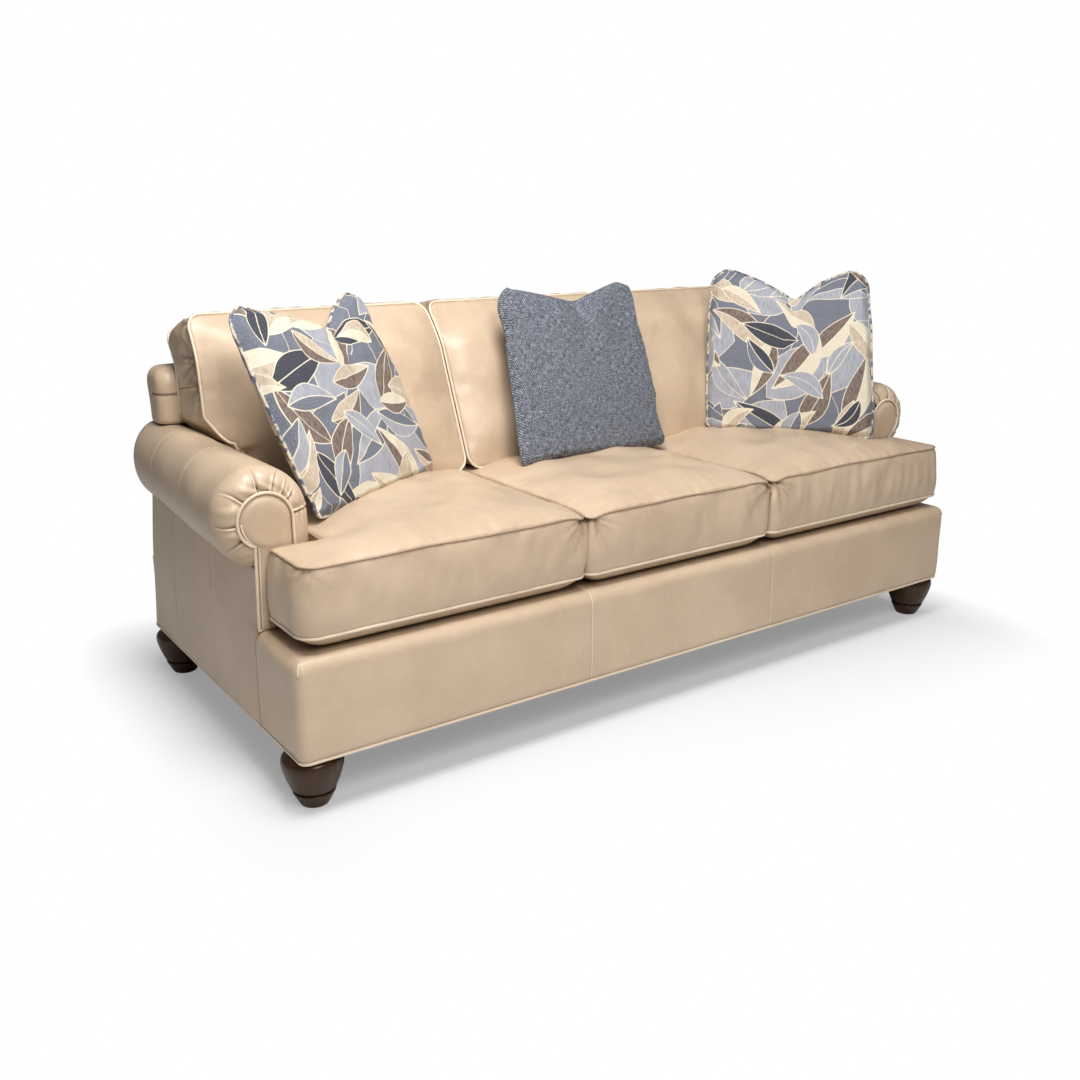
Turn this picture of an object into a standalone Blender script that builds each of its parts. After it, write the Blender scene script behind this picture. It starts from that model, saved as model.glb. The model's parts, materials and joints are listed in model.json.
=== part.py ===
# Three-seat sofa in leather: rolled arms with round front panels, loose seat cushions that wrap
# round the arms, loose back cushions that reach over them, three pillows and turned wooden feet.
#
# Metres. X runs across the seat, with +X on the right as seen from in front. Y runs to the back
# and Z up. The origin is on the floor under the middle. Each left piece mirrors the right one.

import math
from collections import Counter

import bmesh
import bpy
from mathutils import Euler, Matrix, Vector
from mathutils.bvhtree import BVHTree

# Clearance between two pieces that rest against each other, how far a cutter runs past, and the
# angle within which two faces count as one.
GAP = 0.0003
OVERRUN = 0.05
FLAT_ANGLE = math.radians(1)

# Base: the upholstered box that the feet carry.
BASE_WIDTH = 2.100
BASE_DEPTH = 1.000
BASE_HEIGHT = 0.220
FOOT_HEIGHT = 0.129
BASE_EDGE_RADIUS = 0.022
COVER_WALL = 0.012

# Wooden frame.
RAIL_THICKNESS = 0.025
SPRING_SEAT_DROP = 0.031
RAIL_LIFT = 0.0033
BLOCK_WIDTH = 0.090
BLOCK_LENGTH = 0.100
BLOCK_HEIGHT = 0.070
SPRING_RAIL_HEIGHT = 0.068
SPRING_RAIL_SETBACK = 0.008
TOP_RAIL_DEPTH = 0.055
TOP_RAIL_HEIGHT = 0.065
OUTER_UPRIGHT_INSET = 0.006
BOARD_THICKNESS = 0.020
BOARD_CLEARANCE = 0.002
OUTSIDE_ARM_CLEARANCE = 0.0006
ARM_RAIL_WIDTH = 0.060
ARM_RAIL_HEIGHT = 0.035
ARM_RAIL_RISE = 0.012

# Seat springs and deck.
SPRING_WIRE = 0.004
SPRING_WIDTH = 0.050
SPRING_BENDS = 8
SPRINGS_PER_SEAT = 2
SPRING_END = 0.020
SPRING_TIP_INSET = 0.0025
DECK_REACH = 0.037

# Arms: a round roll that narrows and flattens towards the back, over a wall that leans in under it.
ARM_WIDTH = 0.154
ARM_SETBACK = 0.214
ARM_TUCK = 0.038
ROLL_HEIGHT_FRONT = 0.588
ROLL_HEIGHT_REAR = 0.580
ROLL_RADIUS = 0.110
ROLL_REAR_HALF_WIDTH = 0.082
ROLL_REAR_HALF_HEIGHT = 0.105
ROLL_WALL = 0.016
ROLL_STEPS = 18
# The roll's flat facets lie inside its true outline by this share.
FACET_SHARE = math.cos(math.radians(280) / ROLL_STEPS / 2)
NOSE_DEPTH = 0.050
NOSE_ROUNDING = 0.042
ROSETTE_RADIUS = 0.058
ROSETTE_THICKNESS = 0.006
ROSETTE_ROUNDING = 0.002
STEM_INNER_INSET = 0.052
STEM_OUTER_INSET = 0.015

# Back of the frame, behind the loose cushions.
BACK_HEIGHT = 0.830
BACK_END_INSET = 0.040
BACK_DEPTH = 0.127
RECLINE = math.radians(27)
INSIDE_BACK_THICKNESS = 0.020
INSIDE_BACK_MARGIN = 0.022
BACK_COVER_WALL = 0.014
BACK_COVER_BAND = 0.055
BACK_EDGE_RADIUS = 0.040
BACK_END_ROUNDING = 0.026
OUTSIDE_BACK_THICKNESS = 0.012

# Underside.
WELT_RADIUS = 0.0035
DUST_COVER_THICKNESS = 0.003
DUST_COVER_NOTCH = 0.130

# Feet: their places in from the base's sides, and the hanger bolt in each.
FOOT_INSET_SIDE = 0.051
FOOT_INSET_FRONT = 0.067
FOOT_INSET_REAR = 0.075
FOOT_RADIUS = 0.066
FOOT_STEPS = 20
BOLT_RADIUS = 0.005
BOLT_LENGTH = 0.040
# Turned profile from the sole up: (share of the foot's radius, share of its height).
FOOT_PROFILE_SHARES = (
    (0.42, 0.00),
    (0.50, 0.06),
    (0.60, 0.17),
    (0.66, 0.25),
    (0.62, 0.28),
    (0.70, 0.31),
    (0.80, 0.45),
    (0.93, 0.66),
    (1.00, 0.79),
    (0.95, 0.86),
    (0.80, 0.91),
    (0.62, 0.93),
    (0.62, 1.00),
)

# Seat cushions, each a third of the way between the arms, the centre one a little wider.
CENTRE_SEAT_EXTRA = 0.0063
CUSHION_CLEARANCE = 0.0006
SIDE_BULGE = 0.003
SEAT_SETBACK = 0.022
SEAT_FRONT_BULGE = 0.010
SEAT_FLARE = 0.014
SEAT_BACK_CLEARANCE = 0.0058
SEAT_BOTTOM_WELT = 0.035
SEAT_BOXING = 0.148
SEAT_CROWN = 0.036
EAR_CLEARANCE = 0.014
EAR_INSET = 0.030
ARM_CLEARANCE = 0.003

# Back cushions.
BACK_CUSHION_LIFT = 0.010
BACK_CUSHION_DEPTH = 0.180
BACK_CUSHION_HEIGHT = 0.424
BACK_CUSHION_REAR_HEIGHT = 0.376
BACK_CUSHION_LEAN = math.radians(22.5)
BACK_CUSHION_ROLL_OFF = 0.045
BACK_CUSHION_ROLL_BACK = 0.022
BACK_CUSHION_CROWN = 0.034
BACK_CUSHION_REAR_CROWN = 0.006
BACK_CUSHION_TOP_BULGE = 0.018
BACK_EAR_BOTTOM = 0.170
BACK_EAR_REACH = 0.064
BACK_EAR_SETBACK = 0.070
BACK_EAR_STEP = 0.014

# Filling of the seat and back cushions, and the closed zip behind each.
WRAP = 0.018
CORNER_TUCK = 0.020
CORNER_CELL = 0.055
ZIP_WIDTH = 0.003
ZIP_INSET = 0.070

# Pillows.
PILLOW_WIDTH = 0.515
PILLOW_HEIGHT = 0.480
PILLOW_LOFT = 0.084
PILLOW_WAIST = 0.016
PILLOW_CHOP = 0.030
PILLOW_GAP = 0.0009
PILLOW_START = 0.120

# Places worked out from the sizes above.
HALF_WIDTH = BASE_WIDTH / 2
FRONT = -BASE_DEPTH / 2
REAR = BASE_DEPTH / 2
BASE_TOP = FOOT_HEIGHT + BASE_HEIGHT
CAVITY_X = HALF_WIDTH - COVER_WALL
CAVITY_FRONT = FRONT + COVER_WALL
CAVITY_REAR = REAR - OUTSIDE_BACK_THICKNESS
RAIL_BOTTOM = FOOT_HEIGHT + RAIL_LIFT
RAIL_TOP = BASE_TOP - SPRING_SEAT_DROP
ARM_INSIDE = HALF_WIDTH - ARM_WIDTH
ARM_FRONT = FRONT + ARM_SETBACK
DIVISION = ARM_INSIDE / 3 + CENTRE_SEAT_EXTRA
BACK_HALF_WIDTH = HALF_WIDTH - BACK_END_INSET
BACK_TOP_Y = REAR - BACK_DEPTH
NOSE_FRONT = ARM_FRONT + ROSETTE_THICKNESS
NOSE_REAR = NOSE_FRONT + NOSE_DEPTH
ROLL_FRONT = NOSE_REAR + 5 * GAP
ROLL_REAR = CAVITY_REAR - GAP
LEAN_START = RAIL_TOP + GAP
FOOT_X = HALF_WIDTH - FOOT_INSET_SIDE
FOOT_FRONT_Y = FRONT + FOOT_INSET_FRONT
FOOT_REAR_Y = REAR - FOOT_INSET_REAR

LEATHER = ("leather", (0.66, 0.50, 0.34), 0.45)
ROSETTE_LEATHER = ("leather_panel", (0.64, 0.47, 0.31), 0.45)
FRAME_WOOD = ("frame_wood", (0.62, 0.44, 0.25), 0.70)
FOOT_WOOD = ("foot_wood", (0.035, 0.018, 0.011), 0.25)
SPRING_STEEL = ("spring_steel", (0.45, 0.45, 0.47), 0.35)
CLOTH = ("deck_cloth", (0.35, 0.30, 0.24), 0.90)
DUST_CLOTH = ("dust_cloth", (0.02, 0.02, 0.02), 0.95)
FOAM = ("foam", (0.85, 0.80, 0.62), 0.95)
BLUE_WEAVE = ("blue_weave", (0.10, 0.13, 0.19), 0.90)
LEAF_PRINT = ("leaf_print", (0.32, 0.33, 0.38), 0.90)


def start_scene():
    """Clears the scene and makes one collection for the pieces and one for the cutters."""
    for old in list(bpy.data.objects):
        bpy.data.objects.remove(old, do_unlink=True)
    made = []
    for name in ("leather_sofa", "cutters"):
        collection = bpy.data.collections.new(name)
        bpy.context.scene.collection.children.link(collection)
        made.append(collection)
    return made


pieces, cutters = start_scene()


def material(look):
    """A Principled material from (name, colour, roughness), made once."""
    name, colour, roughness = look
    made = bpy.data.materials.get(name)
    if made is None:
        made = bpy.data.materials.new(name)
        made.use_nodes = True
        shader = made.node_tree.nodes["Principled BSDF"]
        shader.inputs["Base Color"].default_value = (*colour, 1)
        shader.inputs["Roughness"].default_value = roughness
        shader.inputs["Metallic"].default_value = float(name == "spring_steel")
    return made


def add_piece(name, mesh, look):
    piece = bpy.data.objects.new(name, mesh)
    mesh.materials.clear()
    mesh.materials.append(material(look))
    pieces.objects.link(piece)
    return piece


def add_cutter(name, mesh):
    cutter = bpy.data.objects.new(name, mesh)
    cutter.hide_render = True
    cutter.display_type = "WIRE"
    cutters.objects.link(cutter)
    return cutter


def mesh_of(name, bm):
    bmesh.ops.recalc_face_normals(bm, faces=bm.faces)
    if bm.calc_volume(signed=True) < 0:
        bmesh.ops.reverse_faces(bm, faces=bm.faces)
    mesh = bpy.data.meshes.new(name)
    bm.to_mesh(mesh)
    bm.free()
    return mesh


def box_shape(low, high):
    """A box between two corners, as a bmesh."""
    bm = bmesh.new()
    bmesh.ops.create_cube(bm, size=1)
    low, high = Vector(low), Vector(high)
    for vertex in bm.verts:
        share = vertex.co + Vector((0.5, 0.5, 0.5))
        vertex.co = Vector(a + (b - a) * s for a, b, s in zip(low, high, share))
    return bm


def box(name, low, high, look):
    return add_piece(name, mesh_of(name, box_shape(low, high)), look)


def cut(piece, cutter):
    boolean = piece.modifiers.new("cut_" + cutter.name, "BOOLEAN")
    boolean.object = cutter
    return piece


def evaluated_mesh(piece):
    bpy.context.view_layer.update()
    graph = bpy.context.evaluated_depsgraph_get()
    return bpy.data.meshes.new_from_object(piece.evaluated_get(graph))


def mirrored(piece, name):
    """A copy of a finished piece on the other side of the sofa."""
    mesh = evaluated_mesh(piece)
    mesh.transform(Matrix.Scale(-1, 4, (1, 0, 0)) @ piece.matrix_world)
    mesh.flip_normals()
    copy = bpy.data.objects.new(name, mesh)
    pieces.objects.link(copy)
    return copy


# How a flat outline stands: its own (x, y, thickness) axes in the sofa's frame.
FACING_FRONT = Matrix(((1, 0, 0, 0), (0, 0, -1, 0), (0, 1, 0, 0), (0, 0, 0, 1)))
FACING_SIDE = Matrix(((0, 0, 1, 0), (1, 0, 0, 0), (0, 1, 0, 0), (0, 0, 0, 1)))
FACING_DOWN = Matrix.Identity(4)


def plate_mesh(name, points, stand, middle, thickness):
    """A flat outline given thickness, standing so that its middle plane lies at one place."""
    curve = bpy.data.curves.new(name, "CURVE")
    curve.dimensions = "2D"
    curve.fill_mode = "BOTH"
    curve.extrude = thickness / 2
    spline = curve.splines.new("POLY")
    spline.points.add(len(points) - 1)
    for point, place in zip(spline.points, points):
        point.co = (*place, 0, 1)
    spline.use_cyclic_u = True
    guide = bpy.data.objects.new(name, curve)
    cutters.objects.link(guide)
    mesh = evaluated_mesh(guide)
    bpy.data.objects.remove(guide)
    bm = bmesh.new()
    bm.from_mesh(mesh)
    bmesh.ops.remove_doubles(bm, verts=bm.verts, dist=GAP / 10)
    bmesh.ops.dissolve_limit(bm, angle_limit=FLAT_ANGLE, verts=bm.verts, edges=bm.edges)
    bm.transform(Matrix.Translation(middle) @ stand)
    return mesh_of(name, bm)


def plate_between(name, points, stand, low, high, look):
    """A plate whose thickness runs from low to high along the axis that it faces."""
    axis = Vector(stand.col[2][:3])
    axis = Vector(abs(a) for a in axis)
    mesh = plate_mesh(name, points, stand, axis * (low + high) / 2, high - low)
    return add_piece(name, mesh, look)


def round_edges(piece, radius, segments, wanted):
    """Rounds the edges of a piece for which wanted(start, end) holds."""
    bm = bmesh.new()
    bm.from_mesh(piece.data)
    edges = [edge for edge in bm.edges if wanted(*(v.co for v in edge.verts))]
    bmesh.ops.bevel(
        bm, geom=edges, offset=radius, segments=segments, profile=0.5, affect="EDGES",
        clamp_overlap=True,
    )
    bm.to_mesh(piece.data)
    bm.free()
    return piece


def tube(name, points, radius, look, closed=False):
    curve = bpy.data.curves.new(name, "CURVE")
    curve.dimensions = "3D"
    curve.bevel_depth = radius
    curve.bevel_resolution = 1
    curve.use_fill_caps = True
    spline = curve.splines.new("POLY")
    spline.points.add(len(points) - 1)
    for point, place in zip(spline.points, points):
        point.co = (*place, 1)
    spline.use_cyclic_u = closed
    curve.materials.append(material(look))
    made = bpy.data.objects.new(name, curve)
    pieces.objects.link(made)
    return made


def arc(centre, radius, start, end, steps):
    """Points along a circle in an outline's own plane."""
    angles = [start + (end - start) * k / steps for k in range(steps + 1)]
    return [(centre[0] + radius * math.cos(a), centre[1] + radius * math.sin(a)) for a in angles]


def roll_at(y):
    """The roll's middle (x, z) at a depth, and half its width and height there."""
    share = (y - ARM_FRONT) / (ROLL_REAR - ARM_FRONT)

    def between(front, rear):
        return front + (rear - front) * share

    half_width = between(ROLL_RADIUS, ROLL_REAR_HALF_WIDTH)
    half_height = between(ROLL_RADIUS, ROLL_REAR_HALF_HEIGHT)
    middle = (ARM_INSIDE + half_width, between(ROLL_HEIGHT_FRONT, ROLL_HEIGHT_REAR))
    return middle, (half_width, half_height)


def inside_back_y(z):
    """Where the reclined inside back's leather lies at a height."""
    return BACK_TOP_Y - (BACK_HEIGHT - z) * math.tan(RECLINE)


def spring_rail_front():
    return inside_back_y(BASE_TOP) - SPRING_RAIL_SETBACK


def oval(middle, halves, start, end):
    """Points along an oval from one angle to another."""
    return [(middle[0] + halves[0] * x, middle[1] + halves[1] * z)
            for x, z in arc((0, 0), 1, start, end, ROLL_STEPS)]


def angle_below(middle, halves, x):
    """The angle at which an oval's underside reaches a place across."""
    return -math.acos(min(1, (x - middle[0]) / halves[0]))


def keyhole(middle, halves, inner, outer, bottom):
    """The outline of an arm's end: an oval head on a stem whose outer side leans in under it."""
    start = angle_below(middle, halves, outer - ARM_TUCK)
    end = math.pi + math.acos(min(1, (middle[0] - inner) / halves[0]))
    return [*oval(middle, halves, start, end), (inner, bottom), (outer, bottom)]


# Base covers and the wooden frame under them

FRONT_COVER_REAR = NOSE_FRONT - GAP


def add_front_rail_cover():
    """Leather over the front rail: a box open below and behind, rounded at its top and corners."""
    low = (-HALF_WIDTH, FRONT, FOOT_HEIGHT)
    high = (HALF_WIDTH, FRONT_COVER_REAR, BASE_TOP)
    cover = box("front_rail_cover", low, high, LEATHER)

    def shows(start, end):
        on_top = min(start.z, end.z) > BASE_TOP - GAP
        at_rear = min(start.y, end.y) > FRONT_COVER_REAR - GAP
        at_corner = max(start.y, end.y) < FRONT + GAP and abs(start.z - end.z) > GAP
        return (on_top and not at_rear) or at_corner

    round_edges(cover, BASE_EDGE_RADIUS, 3, shows)
    hollow = box_shape(
        (-CAVITY_X, CAVITY_FRONT, FOOT_HEIGHT - OVERRUN),
        (CAVITY_X, FRONT_COVER_REAR + OVERRUN, BASE_TOP - COVER_WALL),
    )
    cut(cover, add_cutter("front_cover_hollow", mesh_of("front_cover_hollow", hollow)))


def add_rails():
    inner_x = CAVITY_X - GAP - RAIL_THICKNESS
    front_face = CAVITY_FRONT + GAP
    inner_front = front_face + RAIL_THICKNESS
    rear_face = CAVITY_REAR - GAP
    inner_rear = rear_face - RAIL_THICKNESS
    end_x = CAVITY_X - GAP
    box("front_rail", (-end_x, front_face, RAIL_BOTTOM), (end_x, inner_front, RAIL_TOP), FRAME_WOOD)
    box("rear_rail", (-end_x, inner_rear, RAIL_BOTTOM), (end_x, rear_face, RAIL_TOP), FRAME_WOOD)
    side = box(
        "side_rail_right",
        (inner_x, inner_front + GAP, RAIL_BOTTOM),
        (end_x, inner_rear - GAP, RAIL_TOP),
        FRAME_WOOD,
    )
    mirrored(side, "side_rail_left")
    spring_rail_bottom = RAIL_TOP - SPRING_RAIL_HEIGHT
    box(
        "spring_rail",
        (-inner_x + GAP, spring_rail_front(), spring_rail_bottom),
        (inner_x - GAP, spring_rail_front() + RAIL_THICKNESS, RAIL_TOP),
        FRAME_WOOD,
    )
    box(
        "centre_rail",
        (-RAIL_THICKNESS / 2, inner_front + GAP, RAIL_BOTTOM),
        (RAIL_THICKNESS / 2, inner_rear - GAP, spring_rail_bottom - GAP),
        FRAME_WOOD,
    )
    for end, far in (("front", inner_front + GAP), ("rear", inner_rear - GAP)):
        near = far + BLOCK_LENGTH if end == "front" else far - BLOCK_LENGTH
        block_x = inner_x - GAP
        block = box(
            f"corner_block_{end}_right",
            (block_x - BLOCK_WIDTH, min(far, near), FOOT_HEIGHT + GAP),
            (block_x, max(far, near), FOOT_HEIGHT + GAP + BLOCK_HEIGHT),
            FRAME_WOOD,
        )
        y = FOOT_FRONT_Y if end == "front" else FOOT_REAR_Y
        hole = bmesh.new()
        bmesh.ops.create_cone(
            hole, cap_ends=True, segments=FOOT_STEPS, radius1=BOLT_RADIUS + GAP,
            radius2=BOLT_RADIUS + GAP, depth=BLOCK_HEIGHT + OVERRUN,
        )
        hole.transform(Matrix.Translation((FOOT_X, y, FOOT_HEIGHT + BLOCK_HEIGHT / 2)))
        cut(block, add_cutter(f"bolt_hole_{end}", mesh_of(f"bolt_hole_{end}", hole)))
        mirrored(block, f"corner_block_{end}_left")


def add_springs():
    """Zigzag wires, each from the front rail to the spring rail, with its ends on the rails' tops."""
    z = RAIL_TOP + GAP + SPRING_WIRE / 2
    start = CAVITY_FRONT + GAP + SPRING_TIP_INSET
    stop = spring_rail_front() + RAIL_THICKNESS - SPRING_TIP_INSET
    pitch = (stop - start - 2 * SPRING_END) / SPRING_BENDS
    seat_width = 2 * DIVISION
    names = ("left", "centre", "right")
    for seat, name in enumerate(names):
        for k in range(SPRINGS_PER_SEAT):
            middle = (seat - 1) * seat_width + seat_width * ((k + 0.5) / SPRINGS_PER_SEAT - 0.5)
            route = [(middle, start, z), (middle, start + SPRING_END, z)]
            for bend in range(SPRING_BENDS):
                side = SPRING_WIDTH / 2 * (1 if bend % 2 == 0 else -1)
                y = start + SPRING_END + pitch * bend
                route += [(middle + side, y + pitch * share, z) for share in (0.2, 0.8)]
            route += [(middle, stop - SPRING_END, z), (middle, stop, z)]
            tube(f"spring_{name}_{k + 1}", route, SPRING_WIRE / 2, SPRING_STEEL)


def add_deck():
    """The padded cloth deck on the springs, between the arms."""
    deck_rear = inside_back_y(BASE_TOP) + DECK_REACH
    box(
        "seat_deck",
        (-ARM_INSIDE + GAP, NOSE_FRONT, RAIL_TOP + SPRING_WIRE + 2 * GAP),
        (ARM_INSIDE - GAP, deck_rear, BASE_TOP),
        CLOTH,
    )
    return deck_rear


def add_underside():
    x = CAVITY_X - GAP
    y = CAVITY_REAR - GAP
    notch_x = x - DUST_COVER_NOTCH
    notch_y = y - DUST_COVER_NOTCH
    quarter = [(x, notch_y), (notch_x, notch_y), (notch_x, y)]
    outline = []
    for sx, sy, corner in ((1, 1, quarter), (-1, 1, quarter[::-1]), (-1, -1, quarter),
                           (1, -1, quarter[::-1])):
        outline += [(sx * a, sy * b) for a, b in corner]
    plate_between(
        "dust_cover", outline, FACING_DOWN, FOOT_HEIGHT, FOOT_HEIGHT + DUST_COVER_THICKNESS,
        DUST_CLOTH,
    )
    z = FOOT_HEIGHT - GAP - WELT_RADIUS
    corner = BASE_EDGE_RADIUS - WELT_RADIUS
    x = HALF_WIDTH - BASE_EDGE_RADIUS
    y = REAR - BASE_EDGE_RADIUS
    loop = []
    for k, (sx, sy) in enumerate(((1, 1), (-1, 1), (-1, -1), (1, -1))):
        quarter_turn = math.pi / 2
        loop += arc((sx * x, sy * y), corner, k * quarter_turn, (k + 1) * quarter_turn, 3)
    tube("base_welt", [(a, b, z) for a, b in loop], WELT_RADIUS, LEATHER, closed=True)


def add_feet():
    """A turned foot with its hanger bolt up the middle, into the corner block."""
    bm = bmesh.new()
    profile = [(FOOT_RADIUS * r, FOOT_HEIGHT * h) for r, h in FOOT_PROFILE_SHARES]
    top = FOOT_HEIGHT + BOLT_LENGTH
    profile += [(BOLT_RADIUS, FOOT_HEIGHT), (BOLT_RADIUS, top), (0, top)]
    chain = [bm.verts.new((r, 0, z)) for r, z in [(0, 0), *profile][::-1]]
    for upper, lower in zip(chain, chain[1:]):
        bm.edges.new((upper, lower))
    mesh = bpy.data.meshes.new("foot")
    bm.to_mesh(mesh)
    bm.free()
    for end, y in (("front", FOOT_FRONT_Y), ("rear", FOOT_REAR_Y)):
        for side, x in (("left", -FOOT_X), ("right", FOOT_X)):
            foot = add_piece(f"foot_{end}_{side}", mesh, FOOT_WOOD)
            foot.location = (x, y, 0)
            screw = foot.modifiers.new("turn", "SCREW")
            screw.steps = FOOT_STEPS
            screw.render_steps = FOOT_STEPS
            screw.use_merge_vertices = True
            screw.merge_threshold = GAP / 10
            screw.use_smooth_shade = True


# Arms

def lean_in(side, top):
    """Bends a side panel inwards from the rail's top, by the arm's tuck at a height."""
    bm = bmesh.new()
    bm.from_mesh(side.data)
    everything = bm.verts[:] + bm.edges[:] + bm.faces[:]
    bmesh.ops.bisect_plane(bm, geom=everything, plane_co=(0, 0, LEAN_START), plane_no=(0, 0, 1))
    for vertex in bm.verts:
        share = max(0, vertex.co.z - LEAN_START) / (top - LEAN_START)
        vertex.co.x -= ARM_TUCK * share
    bm.to_mesh(side.data)
    bm.free()


def add_arm():
    """The right arm's covers and boards, each mirrored to the left."""
    made = []
    post_bottom = RAIL_TOP + GAP

    def section(y):
        middle, halves = roll_at(y)
        end = angle_below(middle, halves, CAVITY_X - ARM_TUCK)
        outline = [(ARM_INSIDE, post_bottom), *oval(middle, halves, math.pi, end)]
        return [Vector((x, y, z)) for x, z in outline]

    bm = bmesh.new()
    front = [bm.verts.new(co) for co in section(ROLL_FRONT)]
    rear = [bm.verts.new(co) for co in section(ROLL_REAR)]
    for k in range(len(front) - 1):
        bm.faces.new((front[k], front[k + 1], rear[k + 1], rear[k]))
    mesh = bpy.data.meshes.new("arm_roll_right")
    bm.to_mesh(mesh)
    bm.free()
    roll = add_piece("arm_roll_right", mesh, LEATHER)
    shell = roll.modifiers.new("padding", "SOLIDIFY")
    shell.thickness = ROLL_WALL
    shell.offset = -1
    shell.use_even_offset = True
    made.append(roll)

    middle, halves = roll_at(NOSE_REAR)
    nose_outline = keyhole(middle, halves, ARM_INSIDE, HALF_WIDTH, post_bottom + GAP)
    nose = plate_between("arm_nose_right", nose_outline, FACING_FRONT, NOSE_FRONT, NOSE_REAR, LEATHER)
    under = middle[1] - halves[1] + GAP

    def round_the_head(start, end):
        in_front = max(start.y, end.y) < NOSE_FRONT + GAP
        return in_front and (max(start.z, end.z) > middle[1] or min(start.z, end.z) > under)

    round_edges(nose, NOSE_ROUNDING, 4, round_the_head)
    made.append(nose)

    panel_middle = roll_at(ARM_FRONT)[0]
    panel_outline = keyhole(
        panel_middle, (ROSETTE_RADIUS, ROSETTE_RADIUS), ARM_INSIDE + STEM_INNER_INSET,
        HALF_WIDTH - STEM_OUTER_INSET, BASE_TOP + ROSETTE_ROUNDING,
    )
    panel = plate_between(
        "arm_front_panel_right", panel_outline, FACING_FRONT, ARM_FRONT, NOSE_FRONT - GAP,
        ROSETTE_LEATHER,
    )
    round_edges(
        panel, ROSETTE_ROUNDING, 2, lambda a, b: max(a.y, b.y) < ARM_FRONT + GAP
    )
    made.append(panel)

    for end, low in (("front", ROLL_FRONT), ("rear", ROLL_REAR - BOARD_THICKNESS)):
        high = low + BOARD_THICKNESS
        halves = [half * FACET_SHARE - ROLL_WALL - GAP for half in roll_at(high)[1]]
        inner = ARM_INSIDE + ROLL_WALL + GAP
        middle = (inner + halves[0], roll_at(high)[0][1])
        outer = CAVITY_X - ROLL_WALL - BOARD_CLEARANCE
        outline = keyhole(middle, halves, inner, outer, post_bottom)
        made.append(plate_between(
            f"arm_{end}_board_right", outline, FACING_FRONT, low, high, FRAME_WOOD
        ))

    rail_x, rail_z = roll_at(ROLL_REAR)[0]
    rail_z += ARM_RAIL_RISE
    made.append(box(
        "arm_top_rail_right",
        (rail_x - ARM_RAIL_WIDTH / 2, ROLL_FRONT + BOARD_THICKNESS + GAP, rail_z),
        (rail_x + ARM_RAIL_WIDTH / 2, ROLL_REAR - BOARD_THICKNESS - GAP, rail_z + ARM_RAIL_HEIGHT),
        FRAME_WOOD,
    ))

    def under_roll(y):
        middle, halves = roll_at(y)
        angles = [angle_below(middle, halves, x - ARM_TUCK) for x in (CAVITY_X, HALF_WIDTH)]
        reach = min(math.sin(angle) for angle in angles)
        return middle[1] + halves[1] * reach - OUTSIDE_ARM_CLEARANCE

    outline = [
        (NOSE_FRONT, FOOT_HEIGHT),
        (ROLL_REAR, FOOT_HEIGHT),
        (ROLL_REAR, under_roll(ROLL_REAR)),
        (ROLL_FRONT, under_roll(ROLL_FRONT)),
        (ROLL_FRONT, post_bottom),
        (NOSE_FRONT, post_bottom),
    ]
    side = plate_between("outside_arm_right", outline, FACING_SIDE, CAVITY_X, HALF_WIDTH, LEATHER)
    lean_in(side, under_roll(ROLL_FRONT))
    made.append(side)
    for piece in made:
        mirrored(piece, piece.name.replace("right", "left"))


# Back

PANEL_SLANT = INSIDE_BACK_THICKNESS / math.cos(RECLINE)
PANEL_TOP = BACK_HEIGHT - BACK_EDGE_RADIUS
WING_FRONT = inside_back_y(PANEL_TOP) + PANEL_SLANT + GAP
WING_MIDDLE, WING_HALVES = roll_at(WING_FRONT)
COVER_BOTTOM = WING_MIDDLE[1] + WING_HALVES[1] + 2 * GAP
OUTSIDE_BACK_TOP = BACK_HEIGHT - BACK_COVER_BAND


def wing_front(inset, bottom):
    """The side view of the padded top's front, drawn in by a wall, from below up to its top."""
    front = WING_FRONT + inset
    radius = BACK_EDGE_RADIUS - inset
    middle = (front + radius, BACK_HEIGHT - BACK_EDGE_RADIUS)
    return [(front, bottom), *arc(middle, radius, math.pi, math.pi / 2, 3)]


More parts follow.
